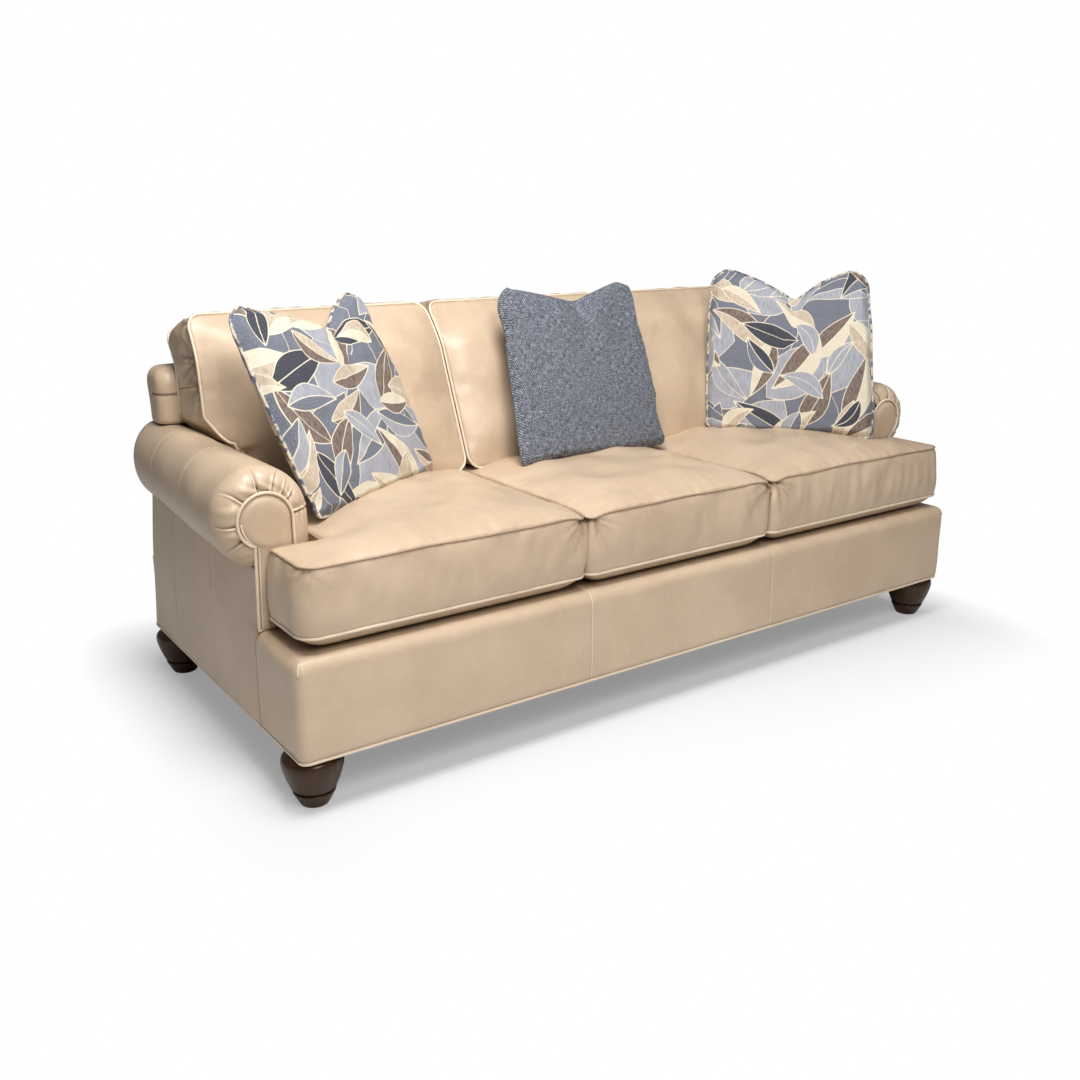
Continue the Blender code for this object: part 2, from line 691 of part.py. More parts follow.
def add_back():
    half = BACK_HALF_WIDTH
    rear_face = CAVITY_REAR
    rear_middle = (REAR - BACK_EDGE_RADIUS, BACK_HEIGHT - BACK_EDGE_RADIUS)
    outline = wing_front(0, COVER_BOTTOM) + [
        *arc(rear_middle, BACK_EDGE_RADIUS, math.pi / 2, 0, 3),
        (REAR, OUTSIDE_BACK_TOP),
        (rear_face - GAP, OUTSIDE_BACK_TOP),
        (rear_face - GAP, COVER_BOTTOM),
    ]
    cover = plate_between("back_top_cover", outline, FACING_SIDE, -half, half, LEATHER)
    round_edges(cover, BACK_END_ROUNDING, 3, lambda a, b: (
        abs(a.x - b.x) < GAP and max(a.z, b.z) > OUTSIDE_BACK_TOP + GAP
    ))
    hollow_rear = rear_face + OVERRUN
    hollow = wing_front(BACK_COVER_WALL, COVER_BOTTOM - OVERRUN) + [
        (rear_face - BACK_COVER_WALL, BACK_HEIGHT - BACK_COVER_WALL),
        (rear_face - BACK_COVER_WALL, OUTSIDE_BACK_TOP),
        (hollow_rear, OUTSIDE_BACK_TOP - GAP),
        (hollow_rear, COVER_BOTTOM - OVERRUN),
    ]
    inner = half - BACK_COVER_WALL
    mesh = plate_mesh("back_cover_hollow", hollow, FACING_SIDE, Vector((0, 0, 0)), 2 * inner)
    cut(cover, add_cutter("back_cover_hollow", mesh))

    bottom = BASE_TOP + GAP
    outline = [
        (inside_back_y(bottom), bottom),
        (inside_back_y(bottom) + PANEL_SLANT, bottom),
        (inside_back_y(PANEL_TOP) + PANEL_SLANT, PANEL_TOP),
        (inside_back_y(PANEL_TOP), PANEL_TOP),
    ]
    inside_x = ARM_INSIDE - INSIDE_BACK_MARGIN
    plate_between("inside_back", outline, FACING_SIDE, -inside_x, inside_x, LEATHER)

    middle, halves = roll_at(ROLL_REAR)
    corner = BACK_EDGE_RADIUS
    right = [
        (HALF_WIDTH, FOOT_HEIGHT),
        (HALF_WIDTH, LEAN_START),
        *oval(
            middle, halves, angle_below(middle, halves, HALF_WIDTH - ARM_TUCK),
            -angle_below(middle, halves, half),
        ),
        *arc((half - corner, OUTSIDE_BACK_TOP - corner), corner, 0, math.pi / 2, 3),
    ]
    outline = right + [(-x, z) for x, z in right[::-1]]
    plate_between("outside_back", outline, FACING_FRONT, CAVITY_REAR, REAR, LEATHER)


def add_uprights(deck_rear):
    front_foot = deck_rear + GAP
    rear = CAVITY_REAR - GAP
    behind_panel = PANEL_SLANT + GAP
    wing_inside = WING_FRONT + BACK_COVER_WALL + GAP
    below_cover = COVER_BOTTOM - GAP
    rail_top = BACK_HEIGHT - BACK_COVER_WALL - GAP
    top = rail_top - TOP_RAIL_HEIGHT - GAP
    knee = BACK_HEIGHT - (BACK_TOP_Y + behind_panel - front_foot) / math.tan(RECLINE)
    bottom = RAIL_TOP + GAP
    outline = [
        (front_foot, bottom),
        (rear, bottom),
        (rear, top),
        (wing_inside, top),
        (wing_inside, below_cover),
        (inside_back_y(below_cover) + behind_panel, below_cover),
        (front_foot, knee),
    ]
    outer = ARM_INSIDE - OUTER_UPRIGHT_INSET
    right = plate_between(
        "back_upright_right", outline, FACING_SIDE, outer - RAIL_THICKNESS, outer, FRAME_WOOD
    )
    mirrored(right, "back_upright_left")
    plate_between(
        "back_upright_centre", outline, FACING_SIDE, -RAIL_THICKNESS / 2, RAIL_THICKNESS / 2,
        FRAME_WOOD,
    )
    rail_rear = CAVITY_REAR - BACK_COVER_WALL - GAP
    end = BACK_HALF_WIDTH - BACK_COVER_WALL - GAP
    box(
        "back_top_rail",
        (-end, rail_rear - TOP_RAIL_DEPTH, top + GAP),
        (end, rail_rear, rail_top),
        FRAME_WOOD,
    )


# Loose cushions

def soft_cage(columns, rows, missing):
    """A closed cage of quads with a ring round the middle of its side, for a boxed cushion.

    columns and rows count the cells, and missing(column, row) leaves a cell out. Each corner comes
    with its column, row, layer, outward and cells: layer 0 is the underside or rear, 1 the top or
    front and 0.5 the ring, outward points away from the cushion at its side, and cells counts the
    cells that meet there.
    """
    bm = bmesh.new()
    bmesh.ops.create_grid(bm, x_segments=columns, y_segments=rows, size=0.5)

    def cell(co):
        return (co.x + 0.5) * columns, (co.y + 0.5) * rows

    gone = [f for f in bm.faces if missing(*(int(n) for n in cell(f.calc_center_median())))]
    bmesh.ops.delete(bm, geom=gone, context="FACES")
    raised = bmesh.ops.extrude_face_region(bm, geom=bm.faces[:], use_keep_orig=True)["geom"]
    top = [part for part in raised if isinstance(part, bmesh.types.BMVert)]
    bmesh.ops.translate(bm, verts=top, vec=(0, 0, 1))
    bmesh.ops.bisect_plane(
        bm, geom=bm.verts[:] + bm.edges[:] + bm.faces[:], plane_co=(0, 0, 0.5),
        plane_no=(0, 0, 1),
    )
    bmesh.ops.recalc_face_normals(bm, faces=bm.faces)
    crease = bm.edges.layers.float.new("crease_edge")
    for edge in bm.edges:
        across = [abs(face.normal.z) > 0.5 for face in edge.link_faces]
        edge[crease] = float(len(set(across)) == 2)

    def corner(vertex):
        return tuple(round(n) for n in cell(vertex.co))

    undersides = [face for face in bm.faces if face.normal.z < -0.5]
    cells = Counter(corner(vertex) for face in undersides for vertex in face.verts)
    spots = []
    for vertex in bm.verts:
        sides = [face.normal for face in vertex.link_faces if abs(face.normal.z) < 0.5]
        total = sum(sides, Vector())
        outward = tuple((n > 0.1) - (n < -0.1) for n in total[:2])
        layer = round(vertex.co.z * 2) / 2
        spots.append((*corner(vertex), layer, outward, cells[corner(vertex)]))
    return bm, spots


def add_cushion(name, grid, place, zip_box):
    """A boxed cushion: a leather cover with its wrap, its filling and the closed zip behind.

    place(column, row, layer, outward, cells, inset) gives a corner's position, drawn in by inset.
    """
    cage, spots = soft_cage(*grid)

    def drawn_in(inset):
        bm = cage.copy()
        for vertex, spot in zip(bm.verts, spots):
            vertex.co = place(*spot, inset)
        # The hollow and the filling split their bent quads along the same diagonals.
        if inset:
            bmesh.ops.triangulate(bm, faces=bm.faces, quad_method="FIXED")
        return mesh_of(name, bm)

    cover = add_piece(f"{name}_cover", drawn_in(0), LEATHER)
    cover.data.shade_smooth()
    soften = cover.modifiers.new("soften", "SUBSURF")
    soften.levels = 1
    soften.render_levels = 1
    slot = add_cutter(f"{name}_zip", mesh_of(f"{name}_zip", box_shape(*zip_box)))
    cut(cover, slot)
    cut(cover, add_cutter(f"{name}_hollow", drawn_in(WRAP)))
    fill = add_piece(f"{name}_fill", drawn_in(WRAP + GAP), FOAM)
    cage.free()
    return [cover, fill]


def crown_share(share):
    """A cushion's rise at a share of the way across it: none at its edges, all of it inside."""
    return 1 - abs(2 * share - 1) ** 3


def spread(start, stop, cells, narrow_first=False, narrow_last=False):
    """Places of even cells from start to stop, with a narrow cell at an end that has a corner."""
    low = start + CORNER_CELL * narrow_first
    high = stop - CORNER_CELL * narrow_last
    even = cells - narrow_first - narrow_last
    places = [low + (high - low) * k / even for k in range(even + 1)]
    return [start] * narrow_first + places + [stop] * narrow_last


SEAT_FRONT = FRONT + SEAT_SETBACK
EAR_REAR = ARM_FRONT - EAR_CLEARANCE
SEAT_LOW = BASE_TOP + SEAT_BOTTOM_WELT
SEAT_REAR = inside_back_y(SEAT_LOW) - SEAT_BACK_CLEARANCE
SEAT_HIGH = SEAT_LOW + SEAT_BOXING
SEAT_INNER = ARM_INSIDE - ARM_CLEARANCE
SEAT_OUTER = HALF_WIDTH - EAR_INSET
CUSHION_SIDE = DIVISION - CUSHION_CLEARANCE
BACK_FRONT_LOW = SEAT_HIGH + BACK_CUSHION_LIFT
BACK_CUSHION_FRONT = inside_back_y(BACK_FRONT_LOW) - BACK_CUSHION_DEPTH


def drawn_step(cells, inset):
    """How far a cage's corner moves in from the cushion's side for a wrap of a given depth.

    Where the cushion turns in round the arm, its smoothed corner would bulge out, so the cage is
    tucked in there.
    """
    return inset + CORNER_TUCK * (cells == 3)


def seat_place(xs, ys, outer_side):
    """Positions for a seat cushion's cage between lists of x and y."""
    # The crown has gone by the row on which the back cushion's front edge stands.
    crown_rear = len(ys) - 2

    def place(column, row, layer, outward, cells, inset):
        step = drawn_step(cells, inset)
        x, y = xs[column] - outward[0] * step, ys[row] - outward[1] * step
        if layer == 0.5:
            bulge = SIDE_BULGE if not outer_side(column) else SEAT_FRONT_BULGE
            x += outward[0] * bulge
            y += outward[1] * (SEAT_FRONT_BULGE if row == 0 else SIDE_BULGE)
        level = SEAT_LOW + (SEAT_HIGH - SEAT_LOW) * layer
        if layer == 0:
            x += outward[0] * SEAT_FLARE * outer_side(column)
            level += inset
            level -= 0 if any(outward) else SEAT_BOTTOM_WELT - GAP
        if layer == 1:
            level -= inset
            if not any(outward) and row < crown_rear:
                across = (x - xs[0]) / (xs[-1] - xs[0])
                along = (y - ys[0]) / (ys[crown_rear] - ys[0])
                level += SEAT_CROWN * crown_share(across) * crown_share(along)
        return Vector((x, y, level))

    return place


def add_seat_cushions():
    ear_rows, body_rows = 2, 4
    ys = spread(SEAT_FRONT, EAR_REAR, ear_rows, narrow_first=True)
    ys += spread(EAR_REAR, SEAT_REAR, body_rows)[1:]
    rows = ear_rows + body_rows
    half_zip = ZIP_WIDTH / 2
    middle = (SEAT_LOW + SEAT_HIGH) / 2
    edge = CUSHION_SIDE - SIDE_BULGE

    def zip_box(x_low, x_high):
        deep = SEAT_REAR - WRAP - ZIP_INSET
        return ((x_low, deep, middle - half_zip), (x_high, SEAT_REAR + OVERRUN, middle + half_zip))

    xs = spread(-edge, edge, 5, narrow_first=True, narrow_last=True)
    centre = add_cushion(
        "seat_cushion_centre", (5, rows, lambda column, row: False),
        seat_place(xs, ys, lambda column: False), zip_box(xs[0] + ZIP_INSET, xs[-1] - ZIP_INSET),
    )
    start = DIVISION + CUSHION_CLEARANCE + SIDE_BULGE
    xs = spread(start, SEAT_INNER - SIDE_BULGE, 4, narrow_first=True)
    xs += spread(xs[-1], SEAT_OUTER, 2, narrow_last=True)[1:]
    right = add_cushion(
        "seat_cushion_right",
        (6, rows, lambda column, row: column >= 4 and row >= ear_rows),
        seat_place(xs, ys, lambda column: column == 6),
        zip_box(xs[0] + ZIP_INSET, xs[4] - ZIP_INSET),
    )
    left = [mirrored(piece, piece.name.replace("right", "left")) for piece in right]
    return {"left": left, "centre": centre, "right": right}


def back_place(xs, rows_at, ear_column, ear_row):
    """Positions for a back cushion's cage: columns across, rows from its bottom edge to its top."""
    rows = len(rows_at) - 1
    ear_share = rows_at[ear_row] / rows_at[-1]

    def place(column, row, layer, outward, cells, inset):
        step = drawn_step(cells, inset)
        x = xs[column] - outward[0] * step
        share = (rows_at[row] - rows_at[0]) / (rows_at[-1] - rows_at[0])
        rise = -outward[1] * step
        front_z = BACK_FRONT_LOW + BACK_CUSHION_HEIGHT * share + rise
        front_y = BACK_CUSHION_FRONT + (front_z - BACK_FRONT_LOW) * math.tan(BACK_CUSHION_LEAN)
        rear_z = BACK_FRONT_LOW + BACK_CUSHION_REAR_HEIGHT * share + rise
        rear_y = inside_back_y(rear_z) - 2 * GAP
        if row == rows:
            front_y += BACK_CUSHION_ROLL_OFF
            rear_y += BACK_CUSHION_ROLL_BACK
        if column >= ear_column:
            front_y += BACK_EAR_SETBACK * (1 - share) / (1 - ear_share)
            rear_y = max(rear_y, WING_FRONT - 2 * GAP)
        if column == ear_column - 1:
            rear_y -= BACK_EAR_STEP
        front = Vector((x, front_y, front_z))
        rear = Vector((x, rear_y, rear_z))
        inward = (rear - front).normalized()
        if any(outward):
            rear -= inward * BACK_CUSHION_REAR_CROWN
        else:
            across = (x - xs[0]) / (xs[-1] - xs[0])
            front -= inward * BACK_CUSHION_CROWN * crown_share(across) * crown_share(share)
        # The faces are steep at the ear, so the filling keeps five gaps to them, not one.
        deep = max(0, 5 * inset - 4 * WRAP)
        front += inward * deep
        rear -= inward * deep
        co = rear + (front - rear) * layer
        if layer == 0.5:
            co.x += outward[0] * SIDE_BULGE
            co.z += BACK_CUSHION_TOP_BULGE * (row == rows)
        return co

    return place


def add_back_cushions():
    ear_row = 2
    rows_at = spread(0, BACK_EAR_BOTTOM, ear_row)
    rows_at += spread(BACK_EAR_BOTTOM, BACK_CUSHION_HEIGHT, 3, narrow_last=True)[1:]
    rows = len(rows_at) - 1
    edge = CUSHION_SIDE - SIDE_BULGE
    zip_z = BACK_FRONT_LOW + ZIP_INSET
    half_zip = ZIP_WIDTH / 2

    def zip_box(x_low, x_high):
        middle = (BACK_CUSHION_FRONT + inside_back_y(zip_z)) / 2
        rear = inside_back_y(zip_z) + OVERRUN
        return ((x_low, middle, zip_z - half_zip), (x_high, rear, zip_z + half_zip))

    xs = spread(-edge, edge, 5, narrow_first=True, narrow_last=True)
    centre = add_cushion(
        "back_cushion_centre", (5, rows, lambda column, row: False),
        back_place(xs, rows_at, len(xs) + 1, ear_row), zip_box(xs[0] + ZIP_INSET, xs[-1] - ZIP_INSET),
    )
    inner = SEAT_INNER - SIDE_BULGE - ARM_CLEARANCE
    xs = spread(DIVISION + CUSHION_CLEARANCE + SIDE_BULGE, inner, 4, narrow_first=True)
    xs += [ARM_INSIDE + BACK_EAR_REACH]
    right = add_cushion(
        "back_cushion_right",
        (5, rows, lambda column, row: column == 4 and row < ear_row),
        back_place(xs, rows_at, 5, ear_row), zip_box(xs[0] + ZIP_INSET, xs[4] - ZIP_INSET),
    )
    left = [mirrored(piece, piece.name.replace("right", "left")) for piece in right]
    return {"left": left, "centre": centre, "right": right}


# Pillows

def pillow_mesh(name):
    """The front half of a knife-edged pillow, plump in the middle and pressed in at its top."""
    bm = bmesh.new()
    bmesh.ops.create_grid(bm, x_segments=6, y_segments=6, size=0.5)
    half_width, half_height = PILLOW_WIDTH / 2, PILLOW_HEIGHT / 2
    waist = PILLOW_WAIST / half_height
    for vertex in bm.verts:
        u, v = 2 * vertex.co.x, 2 * vertex.co.y
        across = u * (1 - waist * (1 - v * v) * abs(u))
        along = v * (1 - waist * (1 - u * u) * abs(v))
        pressed = PILLOW_CHOP * (1 - u * u) ** 2 * max(0, v) ** 2
        rise = PILLOW_LOFT * ((1 - u * u) * (1 - v * v)) ** 0.5
        vertex.co = Vector((across * half_width, along * half_height - pressed, rise))
    crease = bm.edges.layers.float.new("crease_edge")
    for edge in bm.edges:
        edge[crease] = float(edge.is_boundary)
    mesh = bpy.data.meshes.new(name)
    bm.to_mesh(mesh)
    bm.free()
    return mesh


def surface_of(group):
    """A tree of the world-space faces of several pieces, and their corners."""
    corners, faces = [], []
    for piece in group:
        mesh = evaluated_mesh(piece)
        start = len(corners)
        corners += [piece.matrix_world @ vertex.co for vertex in mesh.vertices]
        faces += [tuple(start + k for k in polygon.vertices) for polygon in mesh.polygons]
        bpy.data.meshes.remove(mesh)
    middles = [sum((corners[k] for k in face), Vector()) / len(face) for face in faces]
    edges = {tuple(sorted(pair)) for face in faces for pair in zip(face, face[1:] + face[:1])}
    middles += [corners[a].lerp(corners[b], k / 4) for a, b in edges for k in (1, 2, 3)]
    return BVHTree.FromPolygons(corners, faces), corners + middles


def settle(piece, direction, group):
    """Moves a piece along a direction until it lies one pillow gap from the group."""
    direction = Vector(direction).normalized()
    own, own_corners = surface_of([piece])
    others, other_corners = surface_of(group)
    found = [others.ray_cast(co, direction)[3] for co in own_corners]
    found += [own.ray_cast(co, -direction)[3] for co in other_corners]
    found = [distance for distance in found if distance is not None]
    if found:
        piece.location += direction * (min(found) - PILLOW_GAP)


# Each pillow: name, look, the seat that it stands on, the middle of its lower edge across and
# along the seat as shares of half the base's width and depth, its turn, its lean and its tilt.
PILLOW_PLACE_SHARES = (
    ("pillow_left", LEAF_PRINT, "left", -0.612, -0.320, 32, -24, 0),
    ("pillow_centre", BLUE_WEAVE, "centre", 0.050, -0.270, 3, -23, -2),
    ("pillow_right", LEAF_PRINT, "right", 0.695, -0.240, -46, -15, 0),
)


def add_pillows(seats, backs):
    pillows = {}
    arms = [bpy.data.objects[f"arm_{part}_{side}"]
            for part in ("roll", "nose") for side in ("left", "right")]
    for name, look, seat, across, along, turn, lean, tilt in PILLOW_PLACE_SHARES:
        pillow = add_piece(name, pillow_mesh(name), look)
        mirror = pillow.modifiers.new("both_faces", "MIRROR")
        mirror.use_axis = (False, False, True)
        mirror.merge_threshold = GAP / 10
        soften = pillow.modifiers.new("soften", "SUBSURF")
        soften.levels = 1
        soften.render_levels = 1
        pillow.data.shade_smooth()
        # The pillow is made lying on its back: it is stood up, leant back and turned.
        upright = Euler((math.radians(90 + lean), 0, 0)).to_matrix()
        in_plane = Euler((0, 0, math.radians(tilt))).to_matrix()
        turned = Euler((0, 0, math.radians(turn))).to_matrix()
        spin = turned @ upright @ in_plane
        half = spin @ Vector((0, PILLOW_HEIGHT / 2, 0))
        foot = Vector((across * HALF_WIDTH, along * REAR, SEAT_HIGH + PILLOW_START))
        pillow.rotation_euler = spin.to_euler()
        pillow.location = foot + half
        backwards = turned @ Vector((0, 1, 0))
        pillow.location -= backwards * PILLOW_START
        settle(pillow, (0, 0, -1), [seats[seat][0]])
        behind = [cushions[0] for cushions in backs.values()] + arms
        settle(pillow, backwards, behind)
        settle(pillow, (0, 0, -1), [seats[seat][0], *behind])
        pillows[seat] = pillow
    return pillows


def add_slides(seats, backs, pillows):
    """An empty for each slide: a pillow rides on its back cushion, and that on its seat cushion."""
    def slide(name, place, parent, group):
        empty = bpy.data.objects.new(name, None)
        pieces.objects.link(empty)
        empty.parent = parent
        bpy.context.view_layer.update()
        empty.matrix_world = Matrix.Translation(place)
        bpy.context.view_layer.update()
        for piece in group:
            stay = piece.matrix_world.copy()
            piece.parent = empty
            piece.matrix_world = stay
        return empty

    for side, across in (("left", -1), ("centre", 0), ("right", 1)):
        x = across * 2 * DIVISION
        seat = slide(f"seat_{side}_slide", (x, SEAT_FRONT, SEAT_LOW), None, seats[side])
        back = slide(f"back_{side}_lift", (x, BACK_CUSHION_FRONT, BACK_FRONT_LOW), seat, backs[side])
        slide(f"pillow_{side}_lift", pillows[side].location, back, [pillows[side]])


add_front_rail_cover()
add_rails()
add_springs()
DECK_REAR = add_deck()
add_underside()
add_feet()
add_arm()
add_back()
add_uprights(DECK_REAR)
SEATS = add_seat_cushions()
BACKS = add_back_cushions()
add_slides(SEATS, BACKS, add_pillows(SEATS, BACKS))
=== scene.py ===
import json
import math

import bmesh
import bpy
import numpy as np
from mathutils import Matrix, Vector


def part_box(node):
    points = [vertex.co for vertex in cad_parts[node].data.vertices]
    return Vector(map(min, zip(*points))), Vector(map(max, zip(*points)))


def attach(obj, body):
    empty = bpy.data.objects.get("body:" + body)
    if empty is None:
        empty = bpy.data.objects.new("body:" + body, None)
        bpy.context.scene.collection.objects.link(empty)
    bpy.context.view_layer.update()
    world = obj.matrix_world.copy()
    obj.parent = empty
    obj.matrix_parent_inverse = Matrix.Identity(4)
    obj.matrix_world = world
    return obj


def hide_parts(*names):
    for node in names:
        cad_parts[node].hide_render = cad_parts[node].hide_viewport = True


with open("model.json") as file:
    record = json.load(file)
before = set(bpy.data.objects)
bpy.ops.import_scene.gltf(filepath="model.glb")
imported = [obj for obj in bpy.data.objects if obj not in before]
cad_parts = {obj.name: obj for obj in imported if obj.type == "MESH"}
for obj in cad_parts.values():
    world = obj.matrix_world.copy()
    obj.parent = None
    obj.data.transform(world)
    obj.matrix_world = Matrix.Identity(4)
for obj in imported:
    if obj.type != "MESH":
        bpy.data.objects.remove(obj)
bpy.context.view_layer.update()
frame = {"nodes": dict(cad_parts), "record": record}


# Turned feet
# Four bun feet of hardwood, turned on a lathe, stained dark walnut and lacquered. Each has a
# hanger bolt up its middle, screwed into the corner block above it.

FOOT_RADIUS = 0.066
FOOT_HEIGHT = 0.129
FOOT_PLACES = {"front_left": (-0.999, -0.433), "front_right": (0.999, -0.433),
               "rear_left": (-0.999, 0.425), "rear_right": (0.999, 0.425)}
FOOT_PROFILE_SHARES = ((0, 0), (0.40, 0), (0.46, 0.012), (0.52, 0.06), (0.62, 0.16), (0.69, 0.225),
                       (0.69, 0.252), (0.62, 0.272), (0.62, 0.287), (0.73, 0.308), (0.78, 0.37),
                       (0.87, 0.48), (0.975, 0.66), (1.01, 0.77), (0.97, 0.86), (0.82, 0.915),
                       (0.62, 0.935), (0.62, 1.00))
BOLT_RADIUS = 0.005
BOLT_TOP = 0.169


class Socket:
    """An output of a shader node. Arithmetic on it adds Math nodes to its material."""

    def __init__(self, tree, link):
        self.tree, self.link = tree, link

    def node(self, kind, settings, values, output=0):
        """One of the node's outputs, once its settings are made and its inputs set or linked."""
        made = self.tree.nodes.new("ShaderNode" + kind)
        for key, value in settings.items():
            if key == "stops":
                ramp = made.color_ramp
                for element, (place, colour) in zip(ramp.elements, (value[0], value[-1])):
                    element.position, element.color = place, colour
                for place, colour in value[1:-1]:
                    ramp.elements.new(place).color = colour
            else:
                setattr(made, key, value)
        for key, value in values.items():
            if isinstance(value, Socket):
                self.tree.links.new(value.link, made.inputs[key])
            else:
                made.inputs[key].default_value = value
        return Socket(self.tree, made.outputs[output])

    def math(self, operation, *values):
        return self.node("Math", {"operation": operation}, dict(enumerate(values)))

    def __add__(self, other):
        return self.math("ADD", self, other)

    def __sub__(self, other):
        return self.math("SUBTRACT", self, other)

    def __rsub__(self, other):
        return self.math("SUBTRACT", other, self)

    def __mul__(self, other):
        return self.math("MULTIPLY", self, other)

    __radd__, __rmul__ = __add__, __mul__

    def clamp(self):
        return self.node("Clamp", {}, {0: self})

    def mix(self, first, second):
        """Colours mixed by this socket, from the first at 0 to the second at 1."""
        return self.node("Mix", {"data_type": "RGBA"}, {0: self, 6: first, 7: second}, 2)

    def noise(self, scale, detail=2.0, **more):
        return self.node("TexNoise", {}, {"Vector": self, "Scale": scale, "Detail": detail, **more})

    def stretched(self, x, y, z):
        """These coordinates scaled along each axis."""
        return self.node("Mapping", {}, {"Vector": self, "Scale": (x, y, z)})

    def axis(self, number):
        """One of these coordinates, counted from 0."""
        return self.node("SeparateXYZ", {}, {0: self}, number)

    def attribute(self, name, output="Fac"):
        return self.node("Attribute", {"attribute_name": name}, {}, output)

    def bump(self, height, distance, strength=1.0):
        return self.node("Bump", {}, {"Strength": strength, "Distance": distance, "Height": height})


def new_look(name, **plain):
    """A material with plain values on its shader, and its Object coordinates."""
    made = bpy.data.materials.new(name)
    made.use_nodes = True
    shader = made.node_tree.nodes["Principled BSDF"]
    for key, value in plain.items():
        shader.inputs[key.replace("_", " ")].default_value = value
    return made, Socket(made.node_tree, None).node("TexCoord", {}, {}, "Object")


def feed(look, **links):
    """Links what changes over the surface to a material's shader."""
    shader = look.node_tree.nodes["Principled BSDF"]
    for key, value in links.items():
        look.node_tree.links.new(value.link, shader.inputs[key.replace("_", " ")])


def points_of(*axes):
    """Points from their coordinates, each of which is spread to the others' shape."""
    return np.stack(np.broadcast_arrays(*axes), -1)


def quads_of(index):
    """The quads between neighbours in a grid of vertex numbers."""
    corners = (index[:-1, :-1], index[1:, :-1], index[1:, 1:], index[:-1, 1:])
    return np.stack(corners, -1).reshape(-1, 4)


def sheet_of(points, closed=False):
    """A grid of points and its quads, with its last column joined to its first if it is closed."""
    index = np.arange(points.shape[0] * points.shape[1]).reshape(points.shape[:2])
    if closed:
        index = np.hstack([index, index[:, :1]])
    return points.reshape(-1, 3), quads_of(index)


def together(*parts):
    """Several sets of points and quads as one."""
    starts = np.cumsum([0] + [len(points) for points, _ in parts])
    quads = [quads + start for (_, quads), start in zip(parts, starts)]
    return np.vstack([points for points, _ in parts]), np.vstack(quads)


def linked(name, data):
    """A new object in the scene that shows its data."""
    made = bpy.data.objects.new(name, data)
    bpy.context.scene.collection.objects.link(made)
    return made


def make(name, form, look, body, nodes=(), inside=None, marks={}, wall=0.0):
    """A smooth piece from points and quads, facing out, that rides on a body.

    An open form faces away from the point inside. Marks are values at its points, and a wall gives
    it thickness.
    """
    points, quads = form
    used, index = np.unique(quads, return_inverse=True)
    mesh = bpy.data.meshes.new(name)
    mesh.from_pydata(points[used].tolist(), [], index.reshape(-1, 4).tolist())
    for key, values in marks.items():
        values = np.asarray(values, np.float32)
        kind, field = ("FLOAT_VECTOR", "vector") if values.ndim == 2 else ("FLOAT", "value")
        mesh.attributes.new(key, kind, "POINT").data.foreach_set(field, values[used].ravel())
    bm = bmesh.new()
    bm.from_mesh(mesh)
    bmesh.ops.remove_doubles(bm, verts=bm.verts, dist=1e-6)
    bmesh.ops.recalc_face_normals(bm, faces=bm.faces)
    away = 1
    if inside is not None:
        inside = Vector(inside)
        away = sum((face.calc_center_median() - inside).dot(face.normal) * face.calc_area()
                   for face in bm.faces)
    bm.to_mesh(mesh)
    bm.free()
    if away < 0:
        mesh.flip_normals()
    mesh.shade_smooth()
    mesh.materials.append(look)
    made = linked(name, mesh)
    if wall:
        shell = made.modifiers.new("wall", "SOLIDIFY")
        shell.thickness, shell.offset = wall, -1
    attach(made, body)
    if nodes:
        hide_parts(*nodes)
    return made


def smooth_path(knots, steps):
    """A Catmull-Rom curve: each stretch is a cubic whose slope at a knot is half the way between
    the knot's neighbours."""
    knots = np.asarray(knots, float)
    ends = np.concatenate([2 * knots[:1] - knots[1:2], knots, 2 * knots[-1:] - knots[-2:-1]])
    t = np.linspace(0, 1, steps, endpoint=False).reshape(-1, *[1] * (knots.ndim - 1))
    a, b, c, d = (ends[k:len(ends) - 3 + k, None] for k in range(4))
    curve = (2 * b + (c - a) * t + (2 * a - 5 * b + 4 * c - d) * t ** 2
             + (3 * b - a - 3 * c + d) * t ** 3) / 2
    return np.concatenate([curve.reshape(-1, *knots.shape[1:]), knots[-1:]])


def turned(profile, steps):
    """A profile of (radius, height) carried once round the vertical axis."""
    angle = np.arange(steps) * 2 * math.pi / steps
    radius, height = profile[:, :1], profile[:, 1:]
    return sheet_of(points_of(radius * np.cos(angle), radius * np.sin(angle), height), closed=True)


walnut, place = new_look("foot_wood", Coat_Weight=0.12, Coat_Roughness=0.12,
                         Specular_IOR_Level=0.25)
streaks = place.stretched(26, 26, 3).noise(3.0, 4)
veins = place.stretched(160, 160, 9).noise(2.0, 3)
grain = (streaks * 0.7 + veins * 0.5 - 0.1).clamp()
feed(walnut, Base_Color=grain.mix((0.016, 0.007, 0.003, 1), (0.078, 0.034, 0.013, 1)),
     Roughness=veins * 0.12 + 0.26, Normal=place.bump(veins, 0.0002, 0.4))

foot_profile = smooth_path(FOOT_PROFILE_SHARES, 5) * (FOOT_RADIUS, FOOT_HEIGHT)
bolt_profile = [(BOLT_RADIUS, FOOT_HEIGHT), (BOLT_RADIUS, BOLT_TOP), (0, BOLT_TOP)]
foot_form = turned(np.vstack([foot_profile, bolt_profile]), 48)
for corner, (x, y) in FOOT_PLACES.items():
    form = (foot_form[0] + (x, y, 0), foot_form[1])
    make(f"turned_foot_{corner}", form, walnut, "frame", [f"foot_{corner}"])


# Wooden frame
# Rails, boards and uprights of sawn hardwood and plywood, glued and screwed, which the covers hide.
# They keep their solids and get a sawn finish.

def dress(slot, look):
    """Gives every carried-over piece of one finish its material."""
    for part in frame["record"]["subparts"]:
        if part["material_slot"] == slot:
            node = frame["nodes"][part["node"]]
            node.data.materials.clear()
            node.data.materials.append(look)


